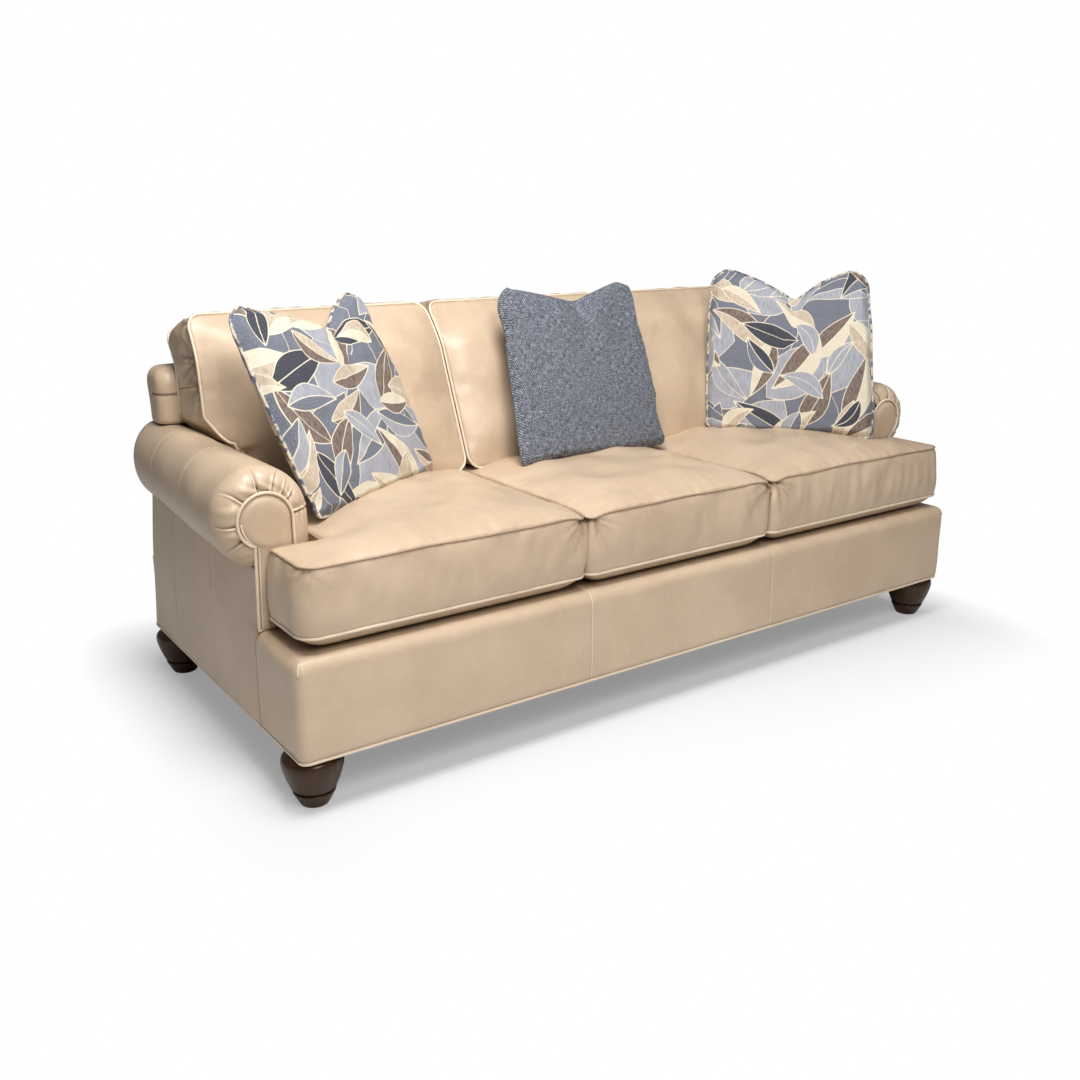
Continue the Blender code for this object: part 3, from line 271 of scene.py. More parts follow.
poplar, place = new_look("frame_wood")
rings = place.stretched(2.5, 14, 14).noise(4.0, 5, Distortion=0.6)
pores = place.stretched(20, 260, 260).noise(3.0, 2)
grain = rings * 0.8 + pores * 0.3
feed(poplar, Base_Color=grain.mix((0.48, 0.31, 0.16, 1), (0.70, 0.53, 0.33, 1)),
     Roughness=pores * 0.2 + 0.6, Normal=place.bump(pores, 0.0004, 0.6))
dress("frame_wood", poplar)


# Springs, deck and dust cover
# Zigzag springs of drawn steel wire carry a padded deck of tan cloth. A black non-woven cloth is
# stapled under the frame.

DECK_LOW, DECK_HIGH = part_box("seat_deck")
DECK_PUFF, DECK_ROUNDING = 0.004, 0.05

wire, place = new_look("spring_steel", Metallic=1.0)
feed(wire, Base_Color=place.noise(40, 3).mix((0.32, 0.31, 0.30, 1), (0.52, 0.52, 0.53, 1)),
     Roughness=place.noise(300, 2) * 0.25 + 0.25)
dress("spring_steel", wire)

felt, place = new_look("dust_cloth")
fibres = place.stretched(1, 1, 0.2).noise(900, 3)
feed(felt, Base_Color=fibres.mix((0.012, 0.012, 0.013, 1), (0.035, 0.035, 0.037, 1)),
     Roughness=fibres * 0.1 + 0.85, Normal=place.bump(fibres, 0.0003))
dress("dust_cloth", felt)


def woven(place, pitch):
    """Height of a plain weave: one thread's wave times another's, each as long as a pitch."""
    turn = 2 * math.pi / pitch
    warp, weft = (place.math("SINE", place.axis(k) * turn) for k in (0, 1))
    return warp * weft * 0.5 + 0.5


ticking, place = new_look("deck_cloth")
weave = woven(place, 0.0016)
stain = place.noise(5, 3)
shade = stain * 0.6 + weave * 0.4
feed(ticking, Base_Color=shade.mix((0.26, 0.21, 0.15, 1), (0.42, 0.36, 0.28, 1)),
     Roughness=stain * 0.1 + 0.82, Normal=place.bump(weave, 0.0003))


def unevenness(places, size, seed):
    """Soft waves from about -1 to 1: the mean of sixteen sines of unlike ways, lengths and phases,
    none shorter than a size."""
    random = np.random.default_rng(seed)
    total = 0
    for _ in range(16):
        way = random.normal(size=places.shape[-1])
        way *= 2 * math.pi / (np.linalg.norm(way) * size * random.uniform(1, 2.6))
        total = total + np.sin(places @ way + random.uniform(0, 2 * math.pi))
    return total / 4


def easing(distance, reach):
    """From 0 at an edge to 1 at a reach from it, steep at first and level at the end."""
    return 1 - (1 - np.clip(distance / reach, 0, 1)) ** 2.6


def rim_of(grid):
    """The points round a grid, each once."""
    return np.concatenate([grid[0], grid[1:, -1], grid[-1, -2::-1], grid[-2:0:-1, 0]])


x, y = np.meshgrid(np.linspace(DECK_LOW.x, DECK_HIGH.x, 90), np.linspace(DECK_LOW.y, DECK_HIGH.y, 30))
edge = np.min([x - DECK_LOW.x, DECK_HIGH.x - x, y - DECK_LOW.y, DECK_HIGH.y - y], axis=0)
deck = points_of(x, y, DECK_HIGH.z + DECK_PUFF * (easing(edge, DECK_ROUNDING) - 1))
deck_base = points_of(x, y, DECK_LOW.z)
rims = sheet_of(np.stack([rim_of(deck), rim_of(deck_base)]), closed=True)
deck_piece = make("deck_pad", together(sheet_of(deck), sheet_of(deck_base), rims), ticking, "frame",
                  ["seat_deck"])


# Base
# Smooth semi-gloss leather in a light tan, pulled over the rails. The front band runs round both
# corners, with a seam under each cushion joint, and a welt of the same leather edges the bottom.

SIDES = {"left": -1, "right": 1}
HALF_WIDTH, FRONT, REAR = 1.050, -0.500, 0.500
BASE_TOP, BASE_BOTTOM = 0.349, 0.129
TOP_ROUNDING, CORNER_ROUNDING = 0.030, 0.022
BAND_END, BAND_COVER = -0.281, 0.218
DIVISION = 0.305
WELT_RADIUS, TUCK_RADIUS = 0.0042, 0.0018
TUCK_DROPS = np.array([0.005, 0.010, 0.016, 0.022, 0.028])
LEATHER_WALL = 0.003
LEATHER_TAN = (0.645, 0.495, 0.352, 1)
LEATHER_DEEP = (0.565, 0.425, 0.295, 1)
LEATHER_PALE = (0.700, 0.552, 0.408, 1)
SEAM_AND_HIGHLIGHT_CREAM = (0.860, 0.745, 0.580, 1)
PAINTED_SHADE_BROWN = (0.150, 0.085, 0.048, 1)


def leather_look(name, tan, pale, deep):
    """Leather: clouded tan, painted shade in dark brown where marked, cream along marked seams and as
    a painted highlight on marked pleat ridges, with a fine grain.
    """
    made, place = new_look(name, Specular_IOR_Level=0.45)
    cloud, mottle, fine = place.noise(5, 3), place.noise(48, 4), place.noise(1300, 2)
    colour = ((cloud - 0.36) * 3.2).clamp().mix(deep, tan)
    colour = (((mottle - 0.50) * 4).clamp() * 0.30).mix(colour, pale)
    # Painted shade: dark brown in creases, grooves, along edges and under the cushions, where marked.
    colour = place.attribute("fold").clamp().mix(colour, PAINTED_SHADE_BROWN)
    # Cream: the seams' thread, and a painted highlight on the pleats' ridges.
    colour = place.attribute("seam").clamp().mix(colour, SEAM_AND_HIGHLIGHT_CREAM)
    pebbles = place.node("TexVoronoi", {"feature": "SMOOTH_F1"}, {"Vector": place, "Scale": 520.0})
    soft, creases = place.noise(26, 5), place.noise(13, 6, Distortion=1.5)
    grain = pebbles * 0.5 + fine * 0.3 + soft * 2.5 + creases * 7.0
    feed(made, Base_Color=colour, Normal=place.bump(grain, 0.0006, 0.30),
         Roughness=mottle * 0.14 + cloud * 0.08 + place.attribute("fold") * 0.2 + 0.23)
    return made


leather = leather_look("leather", LEATHER_TAN, LEATHER_PALE, LEATHER_DEEP)
# The welts' leather, painted paler than the cover: a painted highlight where light catches the cords.
welt_painted_highlight = leather_look("welt_painted_highlight", (0.84, 0.71, 0.55, 1), (0.90, 0.79, 0.63, 1),
                            (0.76, 0.62, 0.47, 1))
# The seats' top welts, painted dark brown: painted shade for the line of shadow along the cord.
welt_painted_shade = leather_look("welt_painted_shade", (0.43, 0.295, 0.195, 1), (0.50, 0.36, 0.25, 1),
                          (0.36, 0.24, 0.155, 1))


def unit(vectors):
    return vectors / np.maximum(np.linalg.norm(vectors, axis=-1, keepdims=True), 1e-12)


def normals_of(points, like):
    """Unit normals of a grid of points: the cross product of its two slopes, on the side of a
    vector called like."""
    normals = unit(np.cross(np.gradient(points, axis=0), np.gradient(points, axis=1)))
    sign = np.sign((normals * like).sum(-1, keepdims=True))
    return normals * np.where(sign == 0, 1, sign)


def bell(distance, width):
    """exp(-(distance / width)^2): 1 in the middle, and next to nothing past two widths."""
    return np.exp(-(distance / width) ** 2)


def fading(distance, reach):
    """exp(-distance / reach): 1 at an edge, and about a third at its reach."""
    return np.exp(-distance / reach)


def bells(places, seams, width):
    """A bell at each seam, added up."""
    return sum(bell(places - seam, width) for seam in seams)


def rounding(past, radius):
    """How far a rounded edge has turned in, past its start: r - sqrt(r^2 - past^2)."""
    return radius - np.sqrt(radius ** 2 - np.clip(past, 0, radius) ** 2)


def cord(path, radius, away, closed=False, sides=8):
    """A round cord along a path: a circle in the plane of away and its cross product with the
    path's way. Open ends close on a point."""
    path = np.asarray(path, float)
    if closed:
        way = np.roll(path, -1, 0) - np.roll(path, 1, 0)
    else:
        way = np.gradient(path, axis=0)
    way = unit(way)
    away = unit(away - (away * way).sum(-1, keepdims=True) * way)
    beside = np.cross(way, away)
    angle = np.arange(sides)[:, None] * 2 * math.pi / sides
    ring = away[:, None] * np.cos(angle) + beside[:, None] * np.sin(angle)
    rings = path[:, None] + ring * radius
    if closed:
        rings = np.concatenate([rings, rings[:1]])
    else:
        ends = [np.repeat(path[k:k + 1, None], sides, 1) for k in (0, -1)]
        rings = np.concatenate([ends[0], rings, ends[1]])
    return sheet_of(rings, closed=True)


def cover(name, points, nodes, inside, marks):
    """A leather cover on the frame: a sheet with a wall, which faces away from the point inside."""
    marks = {key: np.clip(values, 0, 1).ravel() for key, values in marks.items()}
    make(name, sheet_of(points), leather, "frame", nodes, inside, marks, LEATHER_WALL)


def band_path(inset, steps=9):
    """The base's front outline, drawn in by an inset: down one side, round two corners and back."""
    radius = max(CORNER_ROUNDING - inset, 0.0005)
    x, y = HALF_WIDTH - inset, FRONT + inset
    bend = np.linspace(0, math.pi / 2, steps)
    right = points_of(x - radius + radius * np.cos(bend), y + radius - radius * np.sin(bend))
    side = points_of(x, np.linspace(BAND_END, y + radius, 24)[:-1])
    seams = np.array([-0.008, -0.004, -0.002, -0.001, 0, 0.001, 0.002, 0.004, 0.008])
    along = [np.linspace(x - radius, radius - x, 190)[1:-1], DIVISION + seams, seams - DIVISION]
    front = points_of(np.sort(np.concatenate(along))[::-1], y)
    return np.vstack([side, right, front, right[::-1] * (-1, 1), side[::-1] * (-1, 1)])


def add_front_band():
    """Rows of the outline from under the rail up the front, over its rounded top and inwards."""
    bend = np.linspace(0, math.pi / 2, 9)[1:]
    upright = np.linspace(BASE_BOTTOM + 0.004, BASE_TOP - TOP_ROUNDING, 20)
    levels = [(0.014, BASE_BOTTOM), (0.004, BASE_BOTTOM)] + [(0.0, z) for z in upright]
    levels += [(TOP_ROUNDING * (1 - math.cos(b)), BASE_TOP - TOP_ROUNDING * (1 - math.sin(b)))
               for b in bend]
    levels += [(inset, BASE_TOP) for inset in (0.045, 0.07, 0.12, BAND_COVER)]
    band = np.stack([points_of(*band_path(inset).T, z) for inset, z in levels])
    way_out = normals_of(band, band - (0, 0, 0.2))
    x, y, z = np.moveaxis(band, -1, 0)
    loose = np.clip((z - BASE_BOTTOM) / 0.05, 0, 1) * np.clip((BASE_TOP - z) / 0.03, 0.2, 1)
    soft = unevenness(band * (1, 1, 1.6), 0.16, 3) * 0.0014 * loose
    soft += unevenness(band * (1, 1, 0.3), 0.022, 4) * 0.0007 * bell(z - BASE_TOP + 0.020, 0.022)
    seam, groove = (bell(np.abs(x) - DIVISION, width) * (y < FRONT + 0.05)
                    for width in (0.0014, 0.004))
    # Painted shade darkens each seam's groove and the top, which lies in the dark under the seat
    # cushions.
    inset = np.array([[inset] for inset, _ in levels])
    under = np.clip((inset - 0.024) / 0.03, 0, 1) * (z > BASE_TOP - 0.003)
    band = band + way_out * (soft - 0.0014 * groove + 0.0009 * seam)[..., None]
    cover("base_front_band", band, ["front_rail_cover"], (0, -0.1, 0.1),
          {"seam": seam * 0.8, "fold": np.maximum(0.25 * (groove - seam), 0.75 * under)})


def add_base_welt():
    """A loop with a quarter circle round each corner."""
    corner = np.linspace(0, math.pi / 2, 8)
    quarter = points_of(np.cos(corner), np.sin(corner)) * (CORNER_ROUNDING - WELT_RADIUS)
    quarter += (HALF_WIDTH - CORNER_ROUNDING, REAR - CORNER_ROUNDING)
    turns = [quarter, quarter[::-1] * (-1, 1), quarter * (-1, -1), quarter[::-1] * (1, -1)]
    loop = points_of(*np.vstack(turns).T, BASE_BOTTOM - WELT_RADIUS)
    make("bottom_welt", cord(loop, WELT_RADIUS, (0, 0, 1), closed=True), welt_painted_highlight, "frame",
         ["base_welt"])


add_front_band()
add_base_welt()

# Short stitched tucks where the band folds round the base's front corners.
inset = TOP_ROUNDING * (1 - np.sqrt(1 - (1 - TUCK_DROPS / TOP_ROUNDING) ** 2))
inset += (1 - math.sqrt(0.5)) * np.maximum(CORNER_ROUNDING - inset, 0)
tuck = points_of(HALF_WIDTH - inset, FRONT + inset, BASE_TOP - TUCK_DROPS)
for name, side in SIDES.items():
    path = smooth_path(tuck * (side, 1, 1), 6)
    make(f"corner_tuck_{name}", cord(path, TUCK_RADIUS, (side, -1, 0)), welt_painted_highlight, "frame")


# Arms
# Each arm is a padded roll on a board frame. Its leather runs up the inside, over the roll and under
# it, and is pleated round the front on to a round panel with a stem, edged by a welt.

ARM_INSIDE, ARM_FRONT = 0.896, -0.286
# The roll's half width, its axis's height and its half height, each at its front and at its rear.
ROLL_SIZES = ((0.110, 0.082), (0.588, 0.580), (0.110, 0.105))
ROLL_END = 0.4877
NOSE_FRONT, NOSE_REAR = -0.281, -0.228
ROLL_REAR = 0.4865
WALL_FOOT = 0.3195
ROLL_SEAMS = (0.285, 0.012)
# Each pleat's angle round the roll in degrees, and its share of the usual length.
PLEATS = ((-38, 0.8), (-3, 0.9), (40, 1.0), (73, 1.1), (104, 1.1), (125, 0.9), (138, 1.1), (171, 1.2))
PLEAT_LENGTH = 0.060
DISC_RADIUS = 0.058
STEM_INSIDE, STEM_OUTSIDE = 0.948, 1.035
STEM_LEAN, SIDE_LEAN = 0.005, 0.062
PANEL_EDGE, PANEL_PUFF, PANEL_ROUNDING = 0.006, 0.0105, 0.026
SIDE_TOP = 0.480
SIDE_REAR_ROUNDING, SIDE_FRONT_ROUNDING = 0.016, 0.010


def roll_at(y):
    """The roll's middle across and up at a depth, and its half width and half height there."""
    share = (np.asarray(y) - ARM_FRONT) / (ROLL_END - ARM_FRONT)
    half_width, z, half_height = (a + (b - a) * share for a, b in ROLL_SIZES)
    return ARM_INSIDE + half_width, z, half_width, half_height


def seam_rows(low, high, count, seams):
    """Places from low to high, crowded round each seam."""
    near = np.array([-0.008, -0.004, -0.0022, -0.0011, 0, 0.0011, 0.0022, 0.004, 0.008])
    return np.unique(np.concatenate([np.linspace(low, high, count), *(near + s for s in seams)]))


def add_roll(name, side, seed):
    """The inside arm and the roll as one sheet: sections from the rear up to the round panel."""
    turn = np.linspace(math.pi, math.radians(-94), 250)
    climb = np.linspace(0, 1, 12, endpoint=False)

    def outline(y, shrink):
        """The arm's section at depths, drawn in by shares towards the round panel's outline."""
        y, shrink = y[:, None], shrink[:, None]
        x, z, half_width, half_height = roll_at(y)
        across = half_width + (DISC_RADIUS - half_width) * shrink
        up = half_height + (DISC_RADIUS - half_height) * shrink
        wall_x = ARM_INSIDE + (STEM_INSIDE - ARM_INSIDE) * shrink
        wall = points_of(wall_x, y, WALL_FOOT + (z - WALL_FOOT) * climb)
        arc = points_of(x + across * np.cos(turn), y, z + up * np.sin(turn))
        return np.concatenate([wall, arc], 1)

    ys = seam_rows(NOSE_REAR, ROLL_REAR, 70, ROLL_SEAMS)[::-1]
    quarter = np.linspace(0, math.pi / 2, 46)[1:]
    nose = outline(np.full(len(quarter), NOSE_REAR), 1 - np.cos(quarter))
    reach = (NOSE_REAR - NOSE_FRONT) * np.sin(quarter) + 0.004 * np.sin(2 * quarter)
    nose[..., 1] -= reach[:, None]
    points = np.concatenate([outline(ys, np.zeros(len(ys))), nose])
    depth = points[..., 1]
    axis_x, axis_z, _, _ = roll_at(depth)
    out = normals_of(points, points - points_of(axis_x, depth + 0.05, axis_z))
    # On the roll the outward side is away from its axis, and on the wall towards the seat.
    wall = out[:, :len(climb)]
    wall *= np.sign((wall * (-1, -0.3, 0)).sum(-1, keepdims=True))

    # Distance from the round panel's edge along the leather, and the angle about it.
    step = np.linalg.norm(np.diff(points, axis=0), axis=-1)
    walk = np.vstack([np.zeros(points.shape[1]), np.cumsum(step, 0)])
    walk = walk[-1] - walk
    angle = np.degrees(np.concatenate([np.full(len(climb), math.pi), turn]))
    radius = np.hypot(points[..., 0] - axis_x, points[..., 2] - axis_z)
    press, fold, pale = (np.zeros(walk.shape) for _ in range(3))
    on_arc = np.concatenate([np.zeros(len(climb)), np.ones(len(turn))])
    random = np.random.default_rng(seed)
    for pleat, size in PLEATS:
        # A pleat is a valley with a sharp ridge in it and a fold beside the ridge. It curls. The
        # fold beside the ridge gets painted shade, and the ridge a painted highlight in cream.
        pleat = pleat + random.uniform(-3, 3)
        curl, hook = random.uniform(-120, 120), random.uniform(-4000, 4000)
        aside = np.radians(angle - pleat - (curl + hook * walk) * walk) * radius
        fade = np.clip(1.25 - walk / (PLEAT_LENGTH * size), 0, 1) * on_arc
        press += fade * (0.0042 * bell(aside, 0.0026) - 0.0050 * bell(aside, 0.012)
                         - 0.0036 * bell(aside - 0.0042, 0.0024))
        fold += fade * bell(aside - 0.0040, 0.0017) * 0.9
        pale += fade * bell(aside, 0.0014) * 0.8
    places = points_of(radius * np.radians(angle), walk * 0.35, 0)
    ripple = unevenness(places, 0.016, seed + 1) * bell(walk, 0.045) * on_arc
    seam, groove = bells(depth, ROLL_SEAMS, 0.0013), bells(depth, ROLL_SEAMS, 0.005)
    press += ripple * 0.0018 + unevenness(points, 0.13, seed + 2) * 0.0012
    press += 0.0010 * seam - 0.0016 * groove
    # Painted shade in the ripples' hollows, along the round panel's edge and in the seams' grooves.
    fold += np.clip(-ripple - 0.5, 0, 1) * 0.35 + fading(walk, 0.0022) * 0.5
    fold += 0.25 * (groove - seam).clip(0)
    # The seam mark holds the seams' cream thread and the pleats' painted highlights.
    cover(f"arm_cover_{name}", (points + out * press[..., None]) * (side, 1, 1),
          [f"arm_roll_{name}", f"arm_nose_{name}"], (side, 0.1, 0.55),
          {"seam": seam * 0.85 + pale, "fold": fold})


def add_round_panel(name, side):
    """The keyhole panel: rows from its foot up to the top of its disc, each between two edges."""
    x_disc, z_disc, _, _ = roll_at(ARM_FRONT)
    drop = math.sqrt(DISC_RADIUS ** 2 - (STEM_OUTSIDE - STEM_LEAN - x_disc) ** 2)
    start, stem_top = math.asin(-drop / DISC_RADIUS), z_disc - drop
    z_stem = np.linspace(BASE_TOP + 0.002, stem_top, 40, endpoint=False)
    stem_x = STEM_OUTSIDE - STEM_LEAN * (z_stem - BASE_TOP) / (stem_top - BASE_TOP)
    turn = np.linspace(start, math.pi / 2, 60)
    half = DISC_RADIUS * np.cos(turn)
    disc_inner = x_disc - np.where(turn < 0, DISC_RADIUS, half)
    inner = np.concatenate([np.full(40, STEM_INSIDE), disc_inner])[:, None]
    outer = np.concatenate([stem_x, x_disc + half])[:, None]
    x = inner + (outer - inner) * (1 - np.cos(np.linspace(0, math.pi, 33))) / 2
    z = np.concatenate([z_stem, z_disc + DISC_RADIUS * np.sin(turn)])[:, None] + 0 * x
    to_disc = np.maximum(DISC_RADIUS - np.hypot(x - x_disc, z - z_disc), 0) + 0.02 * (z < z_disc)
    rim = np.min([x - inner, outer - x, to_disc], axis=0)
    y = ARM_FRONT + PANEL_EDGE - PANEL_PUFF * easing(rim, PANEL_ROUNDING)
    y += unevenness(points_of(x, z), 0.05, 8) * 0.0004
    # Painted shade runs along the panel's edge, beside its welt.
    cover(f"round_panel_{name}", points_of(x * side, y, z), [f"arm_front_panel_{name}"],
          (side, 0, 0.5), {"fold": fading(rim, 0.002) * 0.5})

    # A thick welt runs all round the panel, and a thin one beside it up the stem's outer edge.
    upward = points_of(STEM_INSIDE, np.linspace(BASE_TOP + 0.003, z_disc, 30))
    bend = np.linspace(math.pi, start, 80)[1:]
    ring = points_of(x_disc + DISC_RADIUS * np.cos(bend), z_disc + DISC_RADIUS * np.sin(bend))
    down = points_of(stem_x, z_stem)[-2::-1]
    line = np.vstack([upward, ring, down, [(STEM_OUTSIDE - 0.004, BASE_TOP + 0.001)]])
    outward = unit(line - (x_disc, z_disc))
    low = line[:, 1] < z_disc
    outward[low] = np.where(line[low, :1] > 0.975, (1.0, 0.05), (-1.0, 0.0))
    welts = []
    for shift, radius, set_back, kept in ((0.0028, 0.0036, 0.002, line[:, 1] > 0),
                                          (-0.0052, 0.0021, 0.0015, low & (line[:, 0] > 0.99))):
        x, z = (line + outward * shift)[kept].T
        welts.append(cord(points_of(x * side, ARM_FRONT + set_back, z), radius, (0, -1, 0)))
    make(f"panel_welt_{name}", together(*welts), welt_painted_highlight, "frame")


def add_side_panel(name, side, seed):
    """The outside of an arm and of the base's side: a sheet over depth and height that leans in
    evenly up to the roll, stands out over the base at its front, and turns in at both ends."""
    ys = seam_rows(BAND_END, ROLL_REAR + 0.008, 90, ROLL_SEAMS)
    x_roll, z_roll, half_width, half_height = roll_at(ys)
    tucked = HALF_WIDTH - SIDE_LEAN * (SIDE_TOP - BASE_BOTTOM)
    reach = np.clip((tucked - x_roll) / half_width, -1, 1)
    top = (z_roll - half_height * np.sqrt(1 - reach ** 2) + 0.004)[:, None]
    z = BASE_BOTTOM + (top - BASE_BOTTOM) * np.linspace(0, 1, 60)
    y = ys[:, None] + 0 * z
    lean = SIDE_LEAN * (z - BASE_BOTTOM)
    lean -= 0.004 * np.sin(math.pi * (y - BAND_END) / (ys[-1] - BAND_END))
    step = np.clip((z - BASE_TOP + 0.016) / 0.026, 0, 1)
    lean += (0.002 + 0.013 * step * step * (3 - 2 * step) - lean) * fading(y - BAND_END, 0.03)
    x = HALF_WIDTH - lean - rounding(y - (REAR - 0.006 - SIDE_REAR_ROUNDING), SIDE_REAR_ROUNDING)
    past = (BAND_END + SIDE_FRONT_ROUNDING - y) * (z > BASE_TOP - 0.02)
    x -= rounding(past, SIDE_FRONT_ROUNDING)
    points = points_of(x * side, y, z)
    seam, groove = bells(y, ROLL_SEAMS, 0.0013), bells(y, ROLL_SEAMS, 0.007)
    soft = unevenness(points * (1, 1, 0.6), 0.14, seed) * 0.0012 - 0.002 * groove + 0.0007 * seam
    soft += unevenness(points * (0, 1, 0.25), 0.03, seed + 1) * 0.0007 * fading(top - z, 0.06)
    points[..., 0] += side * (soft - 0.0015)
    # Painted shade along the top, under the roll, and down the front edge.
    fold = fading(top - z, 0.006) * 0.6 + fading(y - BAND_END, 0.002) * 0.35
    cover(f"side_panel_{name}", points, [f"outside_arm_{name}"], (0, 0.1, 0.3),
          {"seam": seam * 0.7, "fold": fold})


for name, side in SIDES.items():
    add_roll(name, side, 20 + side)
    add_round_panel(name, side)
    add_side_panel(name, side, 30 + side)


# Back
# The back's frame is padded and covered in the same leather. Its rounded top wraps over to the
# outside, with a wing at each end behind the cushions, and a plain panel closes the rear.

BACK_HALF, BACK_TOP = 1.010, 0.830
END_ROUNDING, FRONT_ROUNDING, REAR_ROUNDING = 0.034, 0.046, 0.040
RECLINE = math.radians(27)
WING_FRONT, WING_FOOT = 0.3757, 0.6885
WING_SEAM = 0.762
OUTSIDE_TOP = 0.775
BACK_MIDDLE = (0, 0.44, 0.72)
REAR_SEAMS = (-0.34, 0.34)


def add_back_top():
    """A section in depth and height, carried across and drawn in towards both ends."""
    bend = np.linspace(0, math.pi / 2, 12)
    s, c = 1 - np.sin(bend), 1 - np.cos(bend)
    seam = WING_SEAM + np.array([-0.008, -0.004, -0.002, 0, 0.002, 0.004, 0.008])
    section = np.vstack([
        points_of(WING_FRONT, np.unique([WING_FOOT, 0.70, 0.72, 0.74, *seam, 0.78])),
        points_of(WING_FRONT + FRONT_ROUNDING * c, BACK_TOP - FRONT_ROUNDING * s),
        points_of(np.linspace(WING_FRONT + FRONT_ROUNDING, REAR - REAR_ROUNDING, 6)[1:-1], BACK_TOP),
        points_of(REAR - REAR_ROUNDING * s, BACK_TOP - REAR_ROUNDING * c),
        [(REAR, 0.782), (REAR - 0.003, 0.768), (REAR - 0.009, 0.740), (REAR - 0.014, WING_FOOT)]])
    way = unit(np.gradient(section, axis=0))
    inward = points_of(way[:, 1], -way[:, 0])
    inset = END_ROUNDING * np.concatenate([c[::-1], np.zeros(78), c])
    end_x = BACK_HALF - END_ROUNDING * s
    middle_x = np.linspace(-end_x[0], end_x[0], 80)[1:-1]
    xs = np.concatenate([np.full(6, -BACK_HALF), -end_x[::-1], middle_x, end_x, np.full(6, BACK_HALF)])
    outlines = section + inward * inset[:, None, None]
    # Each end is closed by carrying its outline in to an upright line.
    spine = points_of(BACK_MIDDLE[1], np.clip(section[:, 1], WING_FOOT, 0.782))
    share = np.linspace(0, 1, 7)[1:, None, None]
    caps = [outlines[k] * (1 - share) + spine * share for k in (0, -1)]
    y, z = np.moveaxis(np.concatenate([caps[0][::-1], outlines, caps[1]]), -1, 0)
    points = points_of(xs[:, None], y, z)
    out = normals_of(points, points - BACK_MIDDLE)
    in_front = y < 0.47
    press = unevenness(points, 0.10, 41) * 0.0014 * np.clip((z - OUTSIDE_TOP) / 0.02 + in_front, 0, 1)
    on_wing = np.clip((np.abs(points[..., 0]) - 0.90) / 0.03, 0, 1) * in_front
    # The wing's seam is pressed in and darkened with painted shade.
    groove = bell(z - WING_SEAM, 0.0032) * on_wing
    press -= 0.0026 * groove
    cover("back_top", points + out * press[..., None], ["back_top_cover"], BACK_MIDDLE,
          {"fold": groove * 0.9})


def add_outside_back():
    """Rows from the base's bottom to the padded top, as wide as the rolls' ends at each height."""
    z = np.concatenate([np.linspace(BASE_BOTTOM, 0.475, 40), np.linspace(0.475, OUTSIDE_TOP, 70)[1:]])
    x_roll, z_roll, half_width, half_height = roll_at(0.487)
    wall = HALF_WIDTH - 0.015 - SIDE_LEAN * (z - BASE_BOTTOM)
    up = np.clip((z - z_roll) / half_height, -1, 1)
    roll = np.where(np.abs(up) < 1, x_roll + half_width * np.sqrt(1 - up ** 2) - 0.004, 0)
    half = np.maximum(roll, np.where(z < z_roll, wall, BACK_HALF - END_ROUNDING))[:, None]
    near = np.linspace(-0.006, 0.006, 7)
    share = np.unique(np.concatenate([np.linspace(-1, 1, 121), *(s + near for s in REAR_SEAMS)]))
    # Columns stand upright up to half way to the side, and beyond it they spread to the edge.
    inner = np.minimum(np.abs(share), 0.5)
    x = np.sign(share) * (inner + (half - 0.5) * (np.abs(share) - inner) / 0.5)
    z = z[:, None] + 0 * x
    rim = np.min([half - np.abs(x), z - BASE_BOTTOM + 0.01, OUTSIDE_TOP - z + 0.004], axis=0)
    seam, groove = (bells(share, REAR_SEAMS, width) + 0 * x for width in (0.0014, 0.006))
    y = REAR - 0.012 + 0.0115 * easing(rim, 0.03) - 0.0015 * groove + 0.0006 * seam
    y += unevenness(points_of(x, z), 0.2, 44) * 0.0008 * easing(rim, 0.1)
    # Painted shade runs round the panel's edge.
    cover("rear_panel", points_of(x, y, z), ["outside_back"], (0, 0, 0.4),
          {"seam": seam * 0.7, "fold": fading(rim, 0.004) * 0.4})


add_back_top()
add_outside_back()
dress("leather", leather)


# Seat cushions
# Boxed cushions of foam in a fibre wrap, in leather covers with a welt along both edges. The outer
# two are cut in an L and reach round in front of the arms. Each lies loose on the deck.

SEAT_FRONT, SEAT_REAR, EAR_REAR = -0.478, 0.138, -0.300
SEAT_LOW, SEAT_HIGH = 0.384, 0.532
SEAT_CROWN = 0.040
SEAT_JOINT = 0.0035
SEAT_SIDE = 0.8905
ACROSS, BOXING_ROWS = 76, 22
FOLD_ANGLES = (22, 40, 56, 70, 82)
COVER_WELT, THIN_WELT = 0.0036, 0.0019


def cushion_grid(inner, middle, outer, ear_columns, along, ear_row):
    """Places across and along a cushion from inner to middle, and on to outer where it has an ear.
    The cut is the row and column past which cells are left out."""
    if outer > middle:
        ear = np.linspace(middle, outer, ear_columns)[1:]
        xs, cut = np.concatenate([np.linspace(inner, middle, ACROSS), ear]), (ear_row, ACROSS - 1)
    else:
        xs, cut = np.linspace(inner, middle, ACROSS + 2), (len(along) - 1, ACROSS + 1)
    return np.meshgrid(xs, along), cut


def dome(x, y, low, high, near, far, reach):
    """The rise over a rectangle, from 0 at its edges to 1 at a reach from them."""
    across = easing(x - low, reach) * easing(high - x, reach)
    return across * easing(y - near, reach * 0.8) * easing(far - y, reach)


def crown(domes):
    """Domes joined smoothly, up to 1: the cube root of the sum of their cubes."""
    return np.clip(sum(np.maximum(part, 0) ** 3 for part in domes) ** (1 / 3), 0, 1)


